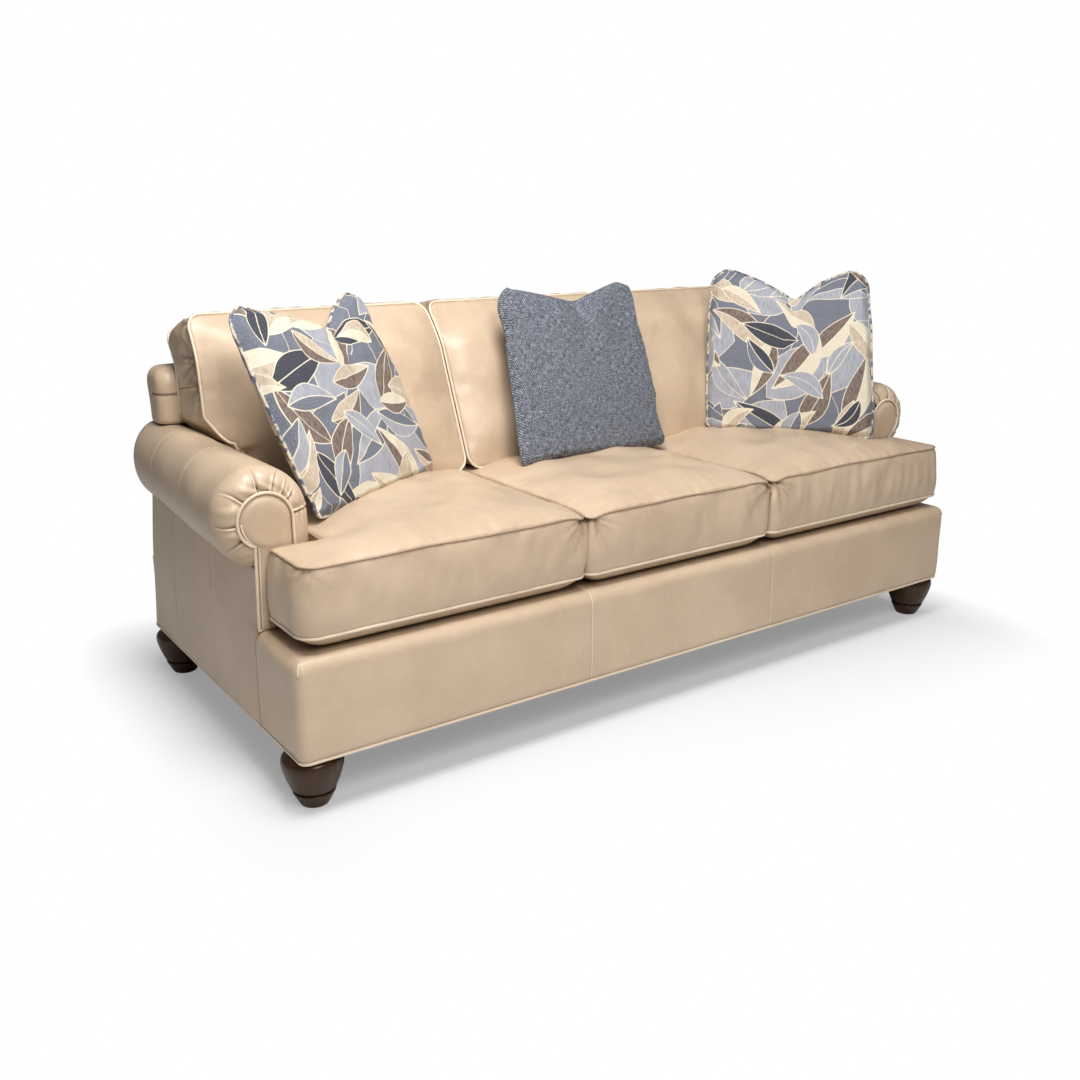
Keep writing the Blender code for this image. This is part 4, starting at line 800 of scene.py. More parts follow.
def rounded(x, y, corners):
    """Points near square corners moved on to round ones: the square between a corner and its radius
    becomes a quarter disc. Each corner has a place, the way out of it and a radius."""
    for (corner_x, corner_y), (way_x, way_y), radius in corners:
        u = 1 - (corner_x - x) * way_x / radius
        v = 1 - (corner_y - y) * way_y / radius
        near = (u > 0) & (v > 0) & (u <= 1.001) & (v <= 1.001)
        a = u * np.sqrt(np.clip(1 - v ** 2 / 2, 0, 1))
        b = v * np.sqrt(np.clip(1 - u ** 2 / 2, 0, 1))
        x = np.where(near, corner_x - way_x * radius * (1 - a), x)
        y = np.where(near, corner_y - way_y * radius * (1 - b), y)
    return x, y


def edge_loop(shape, cut):
    """Grid places round a sheet of a shape whose cells past the cut are left out."""
    (rows, columns), (row, column) = np.array(shape) - 1, cut
    legs = [
        (0, np.arange(columns + 1)),
        (np.arange(row + 1), columns),
        (row, np.arange(columns, column - 1, -1)),
        (np.arange(row, rows + 1), column),
        (rows, np.arange(column, -1, -1)),
        (np.arange(rows, -1, -1), 0),
    ]
    i, j = np.concatenate([points_of(*leg) for leg in legs]).T
    again = (i == np.roll(i, 1)) & (j == np.roll(j, 1))
    return i[~again], j[~again]


def loop_out(start, end):
    """The way out of a cushion along a closed edge: across both the edge and its boxing."""
    way = np.roll(start, -1, 0) - np.roll(start, 1, 0)
    out = unit(np.cross(way, end - start))
    out = out * np.sign(np.sum(out * (start - start.mean(0))))
    for _ in range(3):
        out = unit(np.roll(out, 1, 0) + out * 2 + np.roll(out, -1, 0))
    return out


def boxed(front, rear, cut, bulge, corners, seed, ruffle, gather, rims):
    """A cushion's two panels and the boxing between their edges, bulged in a parabola and softly
    ruffled. From each corner a fan of folds runs down the boxing: ridges at set angles that fade with
    their distance. Returns its form, its painted shade, which darkens the folds and both edges of the
    boxing beside the welts, and its two edge loops."""
    shape = front.shape[:2]
    index = np.arange(shape[0] * shape[1]).reshape(shape)
    kept = np.ones((shape[0] - 1, shape[1] - 1), bool)
    kept[cut[0]:, cut[1]:] = False
    panel = quads_of(index)[kept.ravel()]
    i, j = edge_loop(shape, cut)
    start, end = front[i, j], rear[i, j]
    out = loop_out(start, end)
    share = np.linspace(0, 1, BOXING_ROWS + 1)[1:-1, None]
    around = np.concatenate([[0], np.cumsum(np.linalg.norm(np.diff(start, axis=0), axis=-1))])
    length, height = around[-1], np.linalg.norm(end - start, axis=-1)
    down = share * height
    turn, ring = around / length * 2 * math.pi, length / (2 * math.pi)
    wave = points_of(ring * np.cos(turn), ring * np.sin(turn), down * 0.35)
    swell = 4 * share * (1 - share)
    drawn = ruffle * unevenness(wave, 0.026, seed) * swell ** 0.4
    drawn += 0.0030 * unevenness(wave * (1, 1, 1.5), 0.07, seed + 1) * swell
    # Painted shade along both edges of the boxing, beside the welts.
    dark = rims[0] * bell(down, 0.003) + rims[1] * bell((1 - share) * height, 0.003)
    random = np.random.default_rng(seed)
    for corner, strength, span in corners:
        nearest = np.linalg.norm(start - corner, axis=-1).argmin()
        aside = (around - around[nearest] + length / 2) % length - length / 2
        away = np.hypot(aside, down)
        width = 0.0042 + away * 0.03
        for angle in FOLD_ANGLES:
            angle, reach = angle + random.uniform(-6, 6), span * random.uniform(0.6, 1.15)
            fade = strength * np.clip(1.1 - away / reach, 0, 1) * np.clip(away / 0.008, 0, 1)
            for way in (-1, 1):
                off = np.arctan2(down, aside * way) - math.radians(angle)
                off = np.where(aside * way > -0.002, off * np.minimum(away, 0.05), 1.0)
                drawn -= gather * fade * (bell(off, width) - 0.8 * bell(off - 1.8 * width, width))
                # Painted shade along each fold.
                dark += 0.55 * fade * bell(off, 0.55 * width)
    side = start * (1 - share[..., None]) + end * share[..., None]
    side += out * (bulge * swell ** 0.8 + drawn)[..., None]
    numbers = 2 * index.size + np.arange(dark.size).reshape(dark.shape)
    rings = np.vstack([index[i, j], numbers, index[i, j] + index.size])
    quads = [panel, panel + index.size, quads_of(np.hstack([rings, rings[:, :1]]))]
    points = np.vstack([part.reshape(-1, 3) for part in (front, rear, side)])
    rim_dark = np.zeros(2 * index.size)
    rim_dark[index[i, j]], rim_dark[index[i, j] + index.size] = rims
    fold = np.clip(np.concatenate([rim_dark, dark.ravel()]), 0, 0.85)
    return (points, np.vstack(quads)), fold, (start + out * 0.001, end + out * 0.001, out)


def add_cushion(kind, name, side, form, fold):
    """A leather cushion of a kind at its place, mirrored to its side."""
    points, quads = form
    return make(f"{kind}_cushion_{name}", (points * (side, 1, 1), quads), leather, f"{kind}_{name}",
                [f"{kind}_cushion_{name}_{part}" for part in ("cover", "fill")],
                marks={"fold": fold})


def add_seat(name, side, inner, middle, outer, flare, seed):
    """A seat cushion from inner to middle across, whose ear reaches on to outer in front and flares
    out below."""
    ear = outer > middle
    ear_ys, ys = np.linspace(SEAT_FRONT, EAR_REAR, 26), np.linspace(EAR_REAR, SEAT_REAR, 56)
    ys = np.concatenate([ear_ys, ys[1:]])
    (x, y), cut = cushion_grid(inner, middle, outer, 20, ys, 25)
    areas = [(inner, middle, SEAT_FRONT, SEAT_REAR), (inner, outer, SEAT_FRONT, EAR_REAR)][:1 + ear]
    joints = [inner] if ear else [inner, middle]
    rise = crown([dome(x, y, *area, 0.23) for area in areas])
    down = np.max([dome(x, y, *area, 0.07) for area in areas], axis=0)
    flat = points_of(x, y)
    pucker = unevenness(flat * (1, 0.25), 0.018, seed + 2) * fading(y - SEAT_FRONT, 0.03)
    pucker += unevenness(flat * (0.25, 1), 0.018, seed + 3) * fading(x - inner, 0.03)
    lift = SEAT_CROWN * rise + 0.0030 * unevenness(flat, 0.11, seed) * easing(rise, 0.6)
    lift += 0.0018 * pucker * easing(rise, 0.15)
    # The welt waves a little, and dips at the joints.
    lift += 0.0015 * fading(rise, 0.02) * unevenness(flat, 0.15, seed + 5)
    for joint_x in joints:
        lift -= 0.009 * bell(np.hypot(x - joint_x, y - SEAT_FRONT), 0.036)
    corners = [((inner, SEAT_FRONT), (-1, -1), 0.026), ((inner, SEAT_REAR), (-1, 1), 0.030),
               ((middle, SEAT_REAR), (1, 1), 0.030)]
    if ear:
        corners += [((outer, SEAT_FRONT), (1, -1), 0.040), ((outer, EAR_REAR), (1, 1), 0.018)]
    else:
        corners += [((middle, SEAT_FRONT), (1, -1), 0.026)]
    px, py = rounded(x, y, corners)
    aside = flare * np.clip((x - middle) / max(outer - middle, 0.01), 0, 1)
    top = points_of(px, py, SEAT_HIGH + lift)
    bottom = points_of(px + aside, py, SEAT_LOW - (SEAT_LOW - BASE_TOP - 0.0012) * down)
    i, j = edge_loop(x.shape, cut)
    bulges = np.where((y[i, j] < SEAT_FRONT + 0.01) | (x[i, j] > middle + 0.02), 0.010, 0.0025)
    spots = [((joint_x, SEAT_FRONT, SEAT_HIGH), 1.0, 0.095) for joint_x in joints]
    if ear:
        spots += [((outer, SEAT_FRONT, SEAT_HIGH), 0.45, 0.07),
                  ((outer, EAR_REAR, SEAT_HIGH), 0.3, 0.05)]
    form, fold, (high, low, out) = boxed(top, bottom, cut, bulges, spots, seed + 7, ruffle=0.0016,
                                         gather=0.0034, rims=(0.40, 0.50))
    add_cushion("seat", name, side, form, fold)
    mirror = np.array([side, 1, 1])
    # The top welt is in leather painted dark brown, as painted shade, and the bottom one paler, as a
    # painted highlight.
    for edge, loop, radius, look in (("top", high, THIN_WELT, welt_painted_shade),
                                     ("bottom", low, COVER_WELT, welt_painted_highlight)):
        welt = cord(loop * mirror, radius, out * mirror, closed=True)
        make(f"seat_{edge}_welt_{name}", welt, look, f"seat_{name}")


half = DIVISION - SEAT_JOINT
add_seat("centre", 1, -half, half, half, 0, 50)
add_seat("left", -1, DIVISION + SEAT_JOINT, SEAT_SIDE, 1.010, 0.010, 50)
add_seat("right", 1, DIVISION + SEAT_JOINT, SEAT_SIDE, 1.021, 0.018, 70)


# Back cushions
# Loose boxed cushions, fuller and softer than the seats, that lean on the inside back. The outer two
# have ears that reach over the arms, and their boxing is gathered there.

CUSHION_FOOT, CUSHION_FRONT = 0.543, 0.0463
CUSHION_HEIGHT, CUSHION_REAR_HEIGHT = 0.424, 0.376
CUSHION_LEAN = math.radians(22.5)
CUSHION_CROWN = 0.036
EAR_BOTTOM, EAR_SEAM = 0.170, 0.262
CUSHION_SIDE, EAR_EDGE = 0.886, 0.960
BACK_JOINT = 0.0060


def inside_back(z):
    """How far back the reclined panel behind the cushions lies at a height."""
    return 0.373 - (BACK_TOP - z) * math.tan(RECLINE)


def add_back_cushion(name, side, inner, middle, outer, seed):
    """A back cushion, its rows counted down from its top."""
    ear = outer > middle
    upper = seam_rows(EAR_BOTTOM, CUSHION_HEIGHT, 36, [EAR_SEAM])[::-1]
    downs = np.concatenate([upper, np.linspace(EAR_BOTTOM, 0, 26)[1:]])
    (x, h), cut = cushion_grid(inner, middle, outer, 12, downs, len(upper) - 1)
    corners = [((inner, CUSHION_HEIGHT), (-1, 1), 0.030), ((inner, 0), (-1, -1), 0.035),
               ((middle, 0), (1, -1), 0.035)]
    if ear:
        corners += [((outer, CUSHION_HEIGHT), (1, 1), 0.034), ((outer, EAR_BOTTOM), (1, -1), 0.030)]
    else:
        corners += [((middle, CUSHION_HEIGHT), (1, 1), 0.030)]
    px, ph = rounded(x, h, corners)
    if ear:
        # Under the ear the cushion's side runs down over the roll in an S.
        near = bell(np.hypot(x - middle, h - EAR_BOTTOM), 0.045)
        px, ph = px + 0.020 * near, ph - 0.045 * near
    share = ph / CUSHION_HEIGHT
    over = np.clip((share - 0.74) / 0.26, 0, 1) ** 1.5
    on_ear = np.clip((x - middle + 0.06) / 0.10, 0, 1) * ear
    on_ear = on_ear * on_ear * (3 - 2 * on_ear)
    set_back = 0.070 * np.clip((1 - share) / (1 - EAR_BOTTOM / CUSHION_HEIGHT), 0, 1) * on_ear
    y = CUSHION_FRONT + ph * math.tan(CUSHION_LEAN) + 0.045 * over + set_back

    areas = [(inner, middle, 0, CUSHION_HEIGHT, 0.19), (inner, outer, EAR_BOTTOM, CUSHION_HEIGHT, 0.17)]
    rise = crown([dome(x, h, *area) for area in areas[:1 + ear]])
    flat = points_of(x, h)
    lift = CUSHION_CROWN * rise + 0.0038 * unevenness(flat, 0.10, seed) * easing(rise, 0.5)
    # Puckers run in from each seam, long across it and short along it.
    puckers = [(0.0015, (0.35, 1), 0.030, 2, x - inner, 0.035),
               (0.0012, (1, 0.35), 0.025, 3, CUSHION_HEIGHT - h, 0.030)]
    if ear:
        puckers.append((0.0018, (0.3, 1), 0.026, 4, outer - x, 0.050))
    for deep, stretch, size, seed_step, distance, reach in puckers:
        pucker = unevenness(flat * stretch, size, seed + seed_step) * fading(distance, reach)
        lift += deep * pucker * easing(rise, 0.2)
    front = points_of(px, y, CUSHION_FOOT + ph)
    front += lift[..., None] * (0, -math.cos(CUSHION_LEAN), math.sin(CUSHION_LEAN))
    rear_z = CUSHION_FOOT + CUSHION_REAR_HEIGHT * share
    rear_y = inside_back(rear_z) - 0.001 + 0.022 * over
    rear_y = np.where(on_ear > 0.5, np.maximum(rear_y, WING_FRONT - 0.001), rear_y)
    rear = points_of(px, rear_y, rear_z)

    i, j = edge_loop(x.shape, cut)
    edge_x, edge_h = x[i, j], h[i, j]
    bulges = np.select([edge_h < 0.01, ear & (edge_x > middle + 0.02), edge_h > CUSHION_HEIGHT - 0.01],
                       [0.002, 0.008, 0.016], 0.003)
    spots = [(front[0, 0], 0.7, 0.09), (front[0, -1], 0.9, 0.11), (front[-1, 0], 0.5, 0.08)]
    if ear:
        row = cut[0]
        spots += [(front[row, -1], 0.5, 0.06), (front[row // 3, -1], 1.0, 0.12),
                  (front[2 * row // 3, -1], 1.0, 0.11)]
    form, fold, (*loops, out) = boxed(front, rear, cut, bulges, spots, seed + 7, ruffle=0.0014,
                                      gather=0.0038, rims=(0.35, 0.35))
    if ear:
        # A line of painted shade marks the ear boxing's seam.
        seam = 0.85 * bell(edge_h - EAR_SEAM, 0.0018) * (edge_x > middle + 0.03)
        boxing = fold[2 * x.size:]
        np.maximum(boxing, np.tile(seam, BOXING_ROWS - 1), out=boxing)
    add_cushion("back", name, side, form, fold)
    mirror = np.array([side, 1, 1])
    welts = [cord(loop * mirror, COVER_WELT, out * mirror, closed=True) for loop in loops]
    make(f"back_welt_{name}", together(*welts), welt_painted_highlight, f"back_{name}")


half = DIVISION - BACK_JOINT
add_back_cushion("centre", 1, -half, half, half, 80)
for name, side in SIDES.items():
    add_back_cushion(name, side, DIVISION + BACK_JOINT, CUSHION_SIDE, EAR_EDGE, 90 + 10 * side)


# Pillows
# Three knife-edged scatter pillows with a feather filling, each knocked in at its top. The middle one
# is a slubby blue weave. The outer two are a woven print of two-toned leaves, with a welt.

PILLOW_HALVES = (0.2575, 0.240)
PILLOW_LOFT = 0.084
# Each pillow's turn, lean and tilt in degrees. Its chop: where its top edge is knocked in, how deep,
# and how far to either side. How far its corners are pulled, from the lower left one round.
PILLOWS = {
    "left": {"turns": (32, -24, 0), "chop": (0.26, 0.060, 1.15, 0.55), "seed": 5, "print_seed": 21,
             "pulls": ((0.030, 0), (0.050, 0), (0.055, 0.036), (0.002, 0.022))},
    "centre": {"turns": (3, -23, -2), "chop": (0.06, 0.050, 0.85, 0.75), "seed": 6,
               "pulls": ((-0.014, -0.008), (0, 0), (-0.002, 0.024), (0.014, 0.006))},
    "right": {"turns": (-46, -15, 0), "chop": (0.06, 0.058, 0.85, 0.85), "seed": 7, "print_seed": 34,
              "pulls": ((0.026, 0.004), (0.006, 0.004), (0, 0.030), (-0.020, 0.030))},
}
EAR_ROUNDING, FOOT_ROUNDING = 0.26, 0.10
CASE_CELLS, CASE_STEPS = 30, 7
CASE_WELT = 0.0038
SHARE_OF_CLOTH = 0.28
# How far along the printed cloth the rear face is cut from.
REAR_CLOTH = 0.56


def turned_matrix(turn, lean, tilt):
    """A tilt, a lean back and a turn about the upright axis as one rotation, all in degrees."""
    def spin(degrees, a, b):
        """The rotation that takes axis a towards axis b."""
        c, s = math.cos(math.radians(degrees)), math.sin(math.radians(degrees))
        matrix = np.eye(3)
        matrix[a, a], matrix[a, b], matrix[b, a], matrix[b, b] = c, -s, s, c
        return matrix
    return spin(turn, 0, 1) @ spin(90 + lean, 1, 2) @ spin(tilt, 0, 1)


def blown_up(faces):
    """Two sewn faces of a case after cloth has been filled from inside under an even pressure."""
    points, quads = together(*[sheet_of(face) for face in faces])
    _, first, joined = np.unique(np.round(points, 6), axis=0, return_index=True, return_inverse=True)
    joined = joined.reshape(-1)
    half = len(quads) // 2
    quads = np.vstack([quads[:half], quads[half:, ::-1]])
    mesh = bpy.data.meshes.new("case")
    mesh.from_pydata(points[first].tolist(), [], joined[quads].tolist())
    case = linked("case", mesh)
    cloth = case.modifiers.new("cloth", "CLOTH").settings
    cloth.quality, cloth.mass = 7, 0.25
    cloth.tension_stiffness = cloth.compression_stiffness = 40
    cloth.shear_stiffness, cloth.bending_stiffness = 12, 0.15
    cloth.use_pressure, cloth.uniform_pressure_force = True, 5.0
    cloth.effector_weights.gravity = 0
    for step in range(1, 31):
        bpy.context.scene.frame_set(step)
    shown = case.evaluated_get(bpy.context.evaluated_depsgraph_get()).to_mesh()
    moved = np.empty(len(shown.vertices) * 3, np.float32)
    shown.vertices.foreach_get("co", moved)
    bpy.data.objects.remove(case)
    bpy.context.scene.frame_set(1)
    return moved.reshape(-1, 3)[joined].reshape(2, *faces[0].shape)


def pillow_form(chop, pulls, seed):
    """Two faces over u and v from -1 to 1, with rounded corners and a top edge knocked down in a V.

    Their loft is a power of (1 - u2)(1 - v2), mixed with what a slacker case takes on when it is
    filled as cloth. They are then made finer, each corner is pulled by its share of u and v, and a
    valley runs down from the knock. Returns the form, the cloth's places on it and its edge.
    """
    place, deep, *wide = chop
    u, v = np.meshgrid(*[np.linspace(-1, 1, CASE_CELLS + 1)] * 2)
    half_width, half_height = PILLOW_HALVES
    knock = np.clip(1 - np.sqrt((u - place) ** 2 + 0.002) / np.where(u < place, *wide), 0, 1) ** 1.25
    corners = [((i, j), (i, j), radius) for j, radius in ((-1, FOOT_ROUNDING), (1, EAR_ROUNDING))
               for i in (-1, 1)]
    x, y = rounded(u, v, corners)
    x = x * (1 - 0.008 * (1 - v * v)) * half_width
    y = y * (1 - 0.012 * (1 - u * u)) * half_height
    y = y - deep * knock * np.clip((v + 0.4) / 1.4, 0, 1) ** 2
    inside = (1 - u * u) * (1 - v * v)
    plump = PILLOW_LOFT * inside ** 0.36
    faces = np.array([points_of(x, y, way * plump) for way in (1, -1)])
    slack = plump * 0.55 + unevenness(points_of(u, v), 0.45, seed) * 0.006 * inside
    filled = blown_up([points_of(x, y, way * slack) for way in (1, -1)])
    low, high = filled.min((0, 1, 2)), filled.max((0, 1, 2))
    full_low, full_high = faces.min((0, 1, 2)), faces.max((0, 1, 2))
    filled = (filled - (low + high) / 2) * (full_high - full_low) / (high - low)
    filled[..., 1] += (full_low[1] + full_high[1]) / 2
    faces = faces * (1 - SHARE_OF_CLOTH) + filled * SHARE_OF_CLOTH
    fine = []
    for face in faces:
        for _ in range(2):
            face = smooth_path(face, CASE_STEPS).transpose(1, 0, 2)
        fine.append(face)
    u, v = np.meshgrid(*[np.linspace(-1, 1, len(fine[0]))] * 2)
    rim = 1 - np.maximum(np.abs(u), np.abs(v))
    valley = np.exp(-np.abs((u - place) / 0.15) ** 1.6) * np.clip((v + 0.05) / 1.05, 0, 1) ** 1.5
    cloth = points_of(u * half_width, v * half_height, 0)
    for k, (way, face) in enumerate(zip((1, -1), fine)):
        for (a, b), pull in zip(((-1, -1), (1, -1), (1, 1), (-1, 1)), pulls):
            face[..., :2] += ((1 + a * u) * (1 + b * v) / 4)[..., None] * pull
        small = unevenness(cloth, 0.030, seed + 3 + k) * 0.0012
        for stretch, past, step in (((1, 0.4, 1), v, 5), ((0.4, 1, 1), u, 7)):
            puckers = unevenness(cloth * stretch, 0.020, seed + step + k)
            small += puckers * 0.0010 * fading(1 - np.abs(past), 0.12)
        pressed = np.minimum(valley * deep * 0.5, np.abs(face[..., 2]) * 0.6) * (rim > 0)
        face[..., 2] += way * (small * easing(rim, 0.15) - pressed)
    cloth = cloth.reshape(-1, 3)
    places = np.vstack([cloth, cloth * (-1, 1, 1) + (REAR_CLOTH, 0, 0)])
    return together(*[sheet_of(face) for face in fine]), places, rim_of(fine[0])


PRINT_TONES = {"slate": ("specks", (0.115, 0.125, 0.160, 1), (0.230, 0.245, 0.295, 1)),
               "mist": ("threads", (0.290, 0.300, 0.345, 1), (0.460, 0.470, 0.520, 1)),
               "taupe": ("ribs", (0.115, 0.088, 0.076, 1), (0.290, 0.220, 0.180, 1)),
               "charcoal": ("specks", (0.030, 0.032, 0.044, 1), (0.085, 0.088, 0.112, 1)),
               "linen": ("ribs", (0.450, 0.365, 0.280, 1), (0.690, 0.580, 0.450, 1)),
               "cream": ("specks", (0.640, 0.570, 0.440, 1), (0.820, 0.750, 0.600, 1))}
PRINT_OUTLINE = (0.780, 0.705, 0.555, 1)
# The two tones of each kind of leaf.
LEAF_PAIRS = [("cream", "linen"), ("linen", "cream"), ("linen", "linen"), ("taupe", "cream"),
              ("cream", "taupe"), ("taupe", "taupe"), ("linen", "taupe"), ("charcoal", "charcoal"),
              ("slate", "charcoal"), ("mist", "slate"), ("cream", "linen"), ("mist", "mist"),
              ("slate", "mist")]
LEAF_ANGLES = [35, 60, 130, 155, 215, 240, 310, 350]
# The gap between the broad leaves of the ground, and each other kind's length and gap.
GROUND_GAP, LEAF_SIZES = 0.140, ((0.185, 0.094), (0.135, 0.135))


def leaf(cloth, x, y, angle, length, width, bend):
    """Distance inside a leaf and past its midrib: its half width is a skewed parabola along its
    length, and its middle line bends in another."""
    c, s = math.cos(math.radians(angle)), math.sin(math.radians(angle))
    across, up = cloth[:, 0] - x, cloth[:, 1] - y
    along = (across * c + up * s) * 2 / length
    aside = up * c - across * s - bend * (1 - along ** 2)
    half = width / 2 * (1 - along ** 2) * (1 - 0.35 * along)
    slope = np.sqrt(1 + ((4 * bend / length + 2 * width / length) * along) ** 2)
    inside = (half - np.abs(aside)) / slope
    beyond = (1 - np.abs(along)) * length / 2
    return np.where(np.abs(along) < 1, inside, np.minimum(-np.abs(aside), beyond)), aside


def print_fields(cloth, seed):
    """How far each point of the cloth lies inside each of the print's colours. Every leaf is laid
    over those before it in two halves, and what no colour reaches is its cream outline."""
    random = np.random.default_rng(seed)
    fields = {tone: np.full(len(cloth), 0.05 if tone == "slate" else -1.0) for tone in PRINT_TONES}
    low, high = cloth[:, :2].min(0) - 0.02, cloth[:, :2].max(0) + 0.02

    def lay(tone, region):
        for other in fields:
            fields[other] = np.minimum(fields[other], -region)
        fields[tone] = np.maximum(fields[tone], region)

    def scattered(gap):
        """Spots no nearer to each other than a gap."""
        spots = []
        for spot in random.uniform(low, high, (1500, 2)):
            if all(np.hypot(*(spot - other)) > gap for other in spots):
                spots.append(spot)
        return spots

    for spot in scattered(GROUND_GAP):
        inside, _ = leaf(cloth, *spot, random.uniform(0, 360), random.uniform(0.19, 0.27),
                         random.uniform(0.10, 0.15), random.uniform(-0.03, 0.03))
        lay(random.choice(["mist", "mist", "mist", "slate"]), inside)
    for size, gap in LEAF_SIZES:
        for spot in scattered(gap):
            length = size * random.uniform(0.85, 1.2)
            inside, aside = leaf(cloth, *spot, random.choice(LEAF_ANGLES) + random.uniform(-18, 18),
                                 length, length * random.uniform(0.32, 0.40),
                                 random.uniform(-0.022, 0.022))
            first, second = LEAF_PAIRS[random.integers(len(LEAF_PAIRS))]
            lay(first, np.minimum(inside, aside))
            lay(second, np.minimum(inside, -aside))
    return fields


leaf_look, place = new_look("leaf_print")
cloth = place.attribute("cloth", "Vector")
patterns = {"threads": cloth.stretched(420, 36, 1).noise(1.0, 3),
            "specks": cloth.stretched(330, 330, 1).noise(1.0, 3),
            "ribs": cloth.stretched(300, 60, 1).noise(1.0, 2)}
colour = PRINT_OUTLINE
for tone, (pattern, dark, light) in PRINT_TONES.items():
    mask = (place.attribute(tone) * 1500 - 1.4).clamp()
    colour = mask.mix(colour, ((patterns[pattern] - 0.32) * 2.6).clamp().mix(dark, light))
feed(leaf_look, Base_Color=colour, Roughness=patterns["specks"] * 0.1 + 0.82,
     Normal=place.bump(patterns["threads"] * 0.5 + patterns["specks"], 0.0008, 0.7))

blue_look, place = new_look("blue_weave")
cloth = place.attribute("cloth", "Vector")
slubs = cloth.stretched(60, 300, 1).noise(1.0, 3)
picks = cloth.stretched(260, 70, 1).noise(1.0, 3)
weave = woven(cloth, 0.0070)
flecks = ((slubs * 0.60 + picks * 0.60 + weave * 0.40 - 0.76) * 5.5).clamp()
feed(blue_look, Base_Color=flecks.mix((0.055, 0.065, 0.090, 1), (0.370, 0.390, 0.440, 1)),
     Roughness=picks * 0.1 + 0.80, Normal=place.bump(flecks + weave * 0.5, 0.0010, 0.8))

rope_look, place = new_look("print_welt")
cloth = place.attribute("cloth", "Vector")
bands = cloth.noise(38, 2)
tone = bands.node("ValToRGB", {"stops": [(0.36, (0.10, 0.11, 0.15, 1)), (0.44, (0.30, 0.31, 0.36, 1)),
                                         (0.48, (0.74, 0.66, 0.53, 1)), (0.56, (0.60, 0.50, 0.38, 1)),
                                         (0.64, (0.13, 0.13, 0.17, 1))]}, {0: bands})
feed(rope_look, Base_Color=tone, Roughness=bands * 0.1 + 0.80,
     Normal=place.bump(cloth.noise(500, 2), 0.0006))

for name, about in PILLOWS.items():
    spin = turned_matrix(*about["turns"])
    solid = np.array([vertex.co for vertex in frame["nodes"][f"pillow_{name}"].data.vertices]) @ spin
    (points, quads), places, rim = pillow_form(about["chop"], about["pulls"], about["seed"])
    # It is centred on its solid, with its lower edge at the solid's.
    middle = (solid.min(0) + solid.max(0)) / 2
    middle[1] += solid[:, 1].min() - (points[:, 1] + middle[1]).min()
    marks, look, slot = {"cloth": places}, blue_look, "blue_weave"
    printed = "print_seed" in about
    if printed:
        marks.update(print_fields(places, about["print_seed"]))
        look, slot = leaf_look, "leaf_print"
    piece = make(f"scatter_pillow_{name}", ((points + middle) @ spin.T, quads), look,
                 f"pillow_{name}", [f"pillow_{name}"], marks=marks)
    if printed:
        welt = cord((rim + middle) @ spin.T, CASE_WELT, spin @ (0, 0, 1), closed=True)
        make(f"pillow_welt_{name}", welt, rope_look, f"pillow_{name}", marks={"cloth": welt[0]})


# Studio
# A plain pale floor, a broad key lamp high on the camera's right, one above the sofa's left half, a
# small one for its left end and an even sky. The camera stands where the photograph was taken from.

CAMERA_LENS, CAMERA_SENSOR = 36.35, 36.0
CAMERA_PLACE = (-1.801, -2.401, 1.209)
CAMERA_DROP, CAMERA_TURN = 16.83, -35.24
FLOOR_HALF = 30
LAMP_WHITE = (1.0, 0.99, 0.98)
# Each lamp's place, the point that it is aimed at, its diameter and its power.
LAMPS = {"key": ((-0.9, -3.1, 3.3), (-0.1, 0, 0.4), 1.3, 60),
         "top": ((-0.75, -0.8, 2.9), (-0.35, 0, 0.4), 1.1, 62),
         "side": ((-1.6, -3.2, 2.3), (-0.9, -0.4, 0.3), 0.6, 12)}


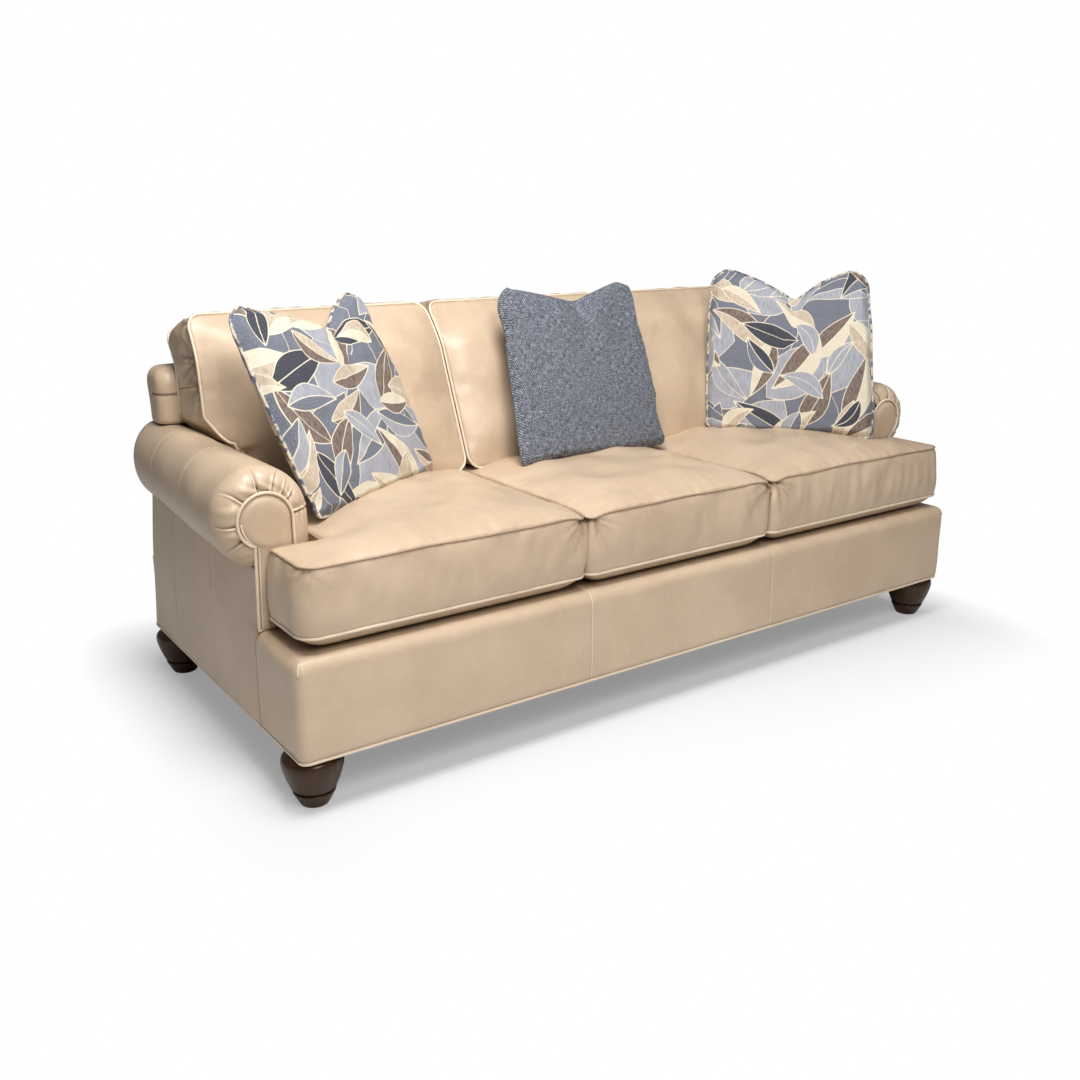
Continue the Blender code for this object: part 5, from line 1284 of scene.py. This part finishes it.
floor_look, place = new_look("floor", Base_Color=(0.80, 0.80, 0.80, 1), Roughness=0.9)
glow = place.node("Emission", {}, {"Color": (1, 1, 1, 1), "Strength": 1.0})
across, along = (place.math("MAXIMUM", place.math("ABSOLUTE", place.axis(k)) - reach, 0.0)
                 for k, reach in ((0, 1.02), (1, 0.47)))
across = across * 1.8
apart = place.math("SQRT", across * across + along * along)
# Away from the sofa the floor turns to plain white. Near it the camera sees less glow, over a
# rounded box round the footprint drawn in at the sides: painted shade that sets how far the
# sofa's rendered shadow spreads.
far = (apart * 2.3).clamp() * 0.72 + 0.28
tree = floor_look.node_tree
shown = Socket(tree, tree.nodes["Principled BSDF"].outputs[0])
seen = place.node("LightPath", {}, {}, "Is Camera Ray") * far
added = place.node("MixShader", {}, {0: seen, 1: shown, 2: glow})
tree.links.new(added.link, tree.nodes["Material Output"].inputs["Surface"])
floor_mesh = bpy.data.meshes.new("floor")
square = [(-1, -1), (1, -1), (1, 1), (-1, 1)]
floor_mesh.from_pydata([(x * FLOOR_HALF, y * FLOOR_HALF, 0) for x, y in square], [], [(0, 1, 2, 3)])
floor_mesh.materials.append(floor_look)
linked("floor", floor_mesh)

world = bpy.data.worlds.new("studio")
world.use_nodes = True
bpy.context.scene.world = world
sky = world.node_tree.nodes["Background"]
seen = Socket(world.node_tree, None).node("LightPath", {}, {}, "Is Camera Ray")
world.node_tree.links.new((seen * 0.84 + 0.16).link, sky.inputs["Strength"])
sky.inputs["Color"].default_value = (1, 1, 1, 1)

for name, (place, aim, size, power) in LAMPS.items():
    light = bpy.data.lights.new(name, "AREA")
    light.shape, light.size, light.energy, light.color = "DISK", size, power, LAMP_WHITE
    lamp = linked(name, light)
    lamp.location = place
    way = Vector(aim) - Vector(place)
    lamp.rotation_euler = way.to_track_quat("-Z", "Y").to_euler()

camera = bpy.data.cameras.new("camera")
camera.lens, camera.sensor_width = CAMERA_LENS, CAMERA_SENSOR
eye = linked("camera", camera)
eye.location = CAMERA_PLACE
eye.rotation_euler = (math.radians(90 - CAMERA_DROP), 0, math.radians(CAMERA_TURN))
bpy.context.scene.camera = eye
bpy.context.scene.view_settings.view_transform = "Standard"
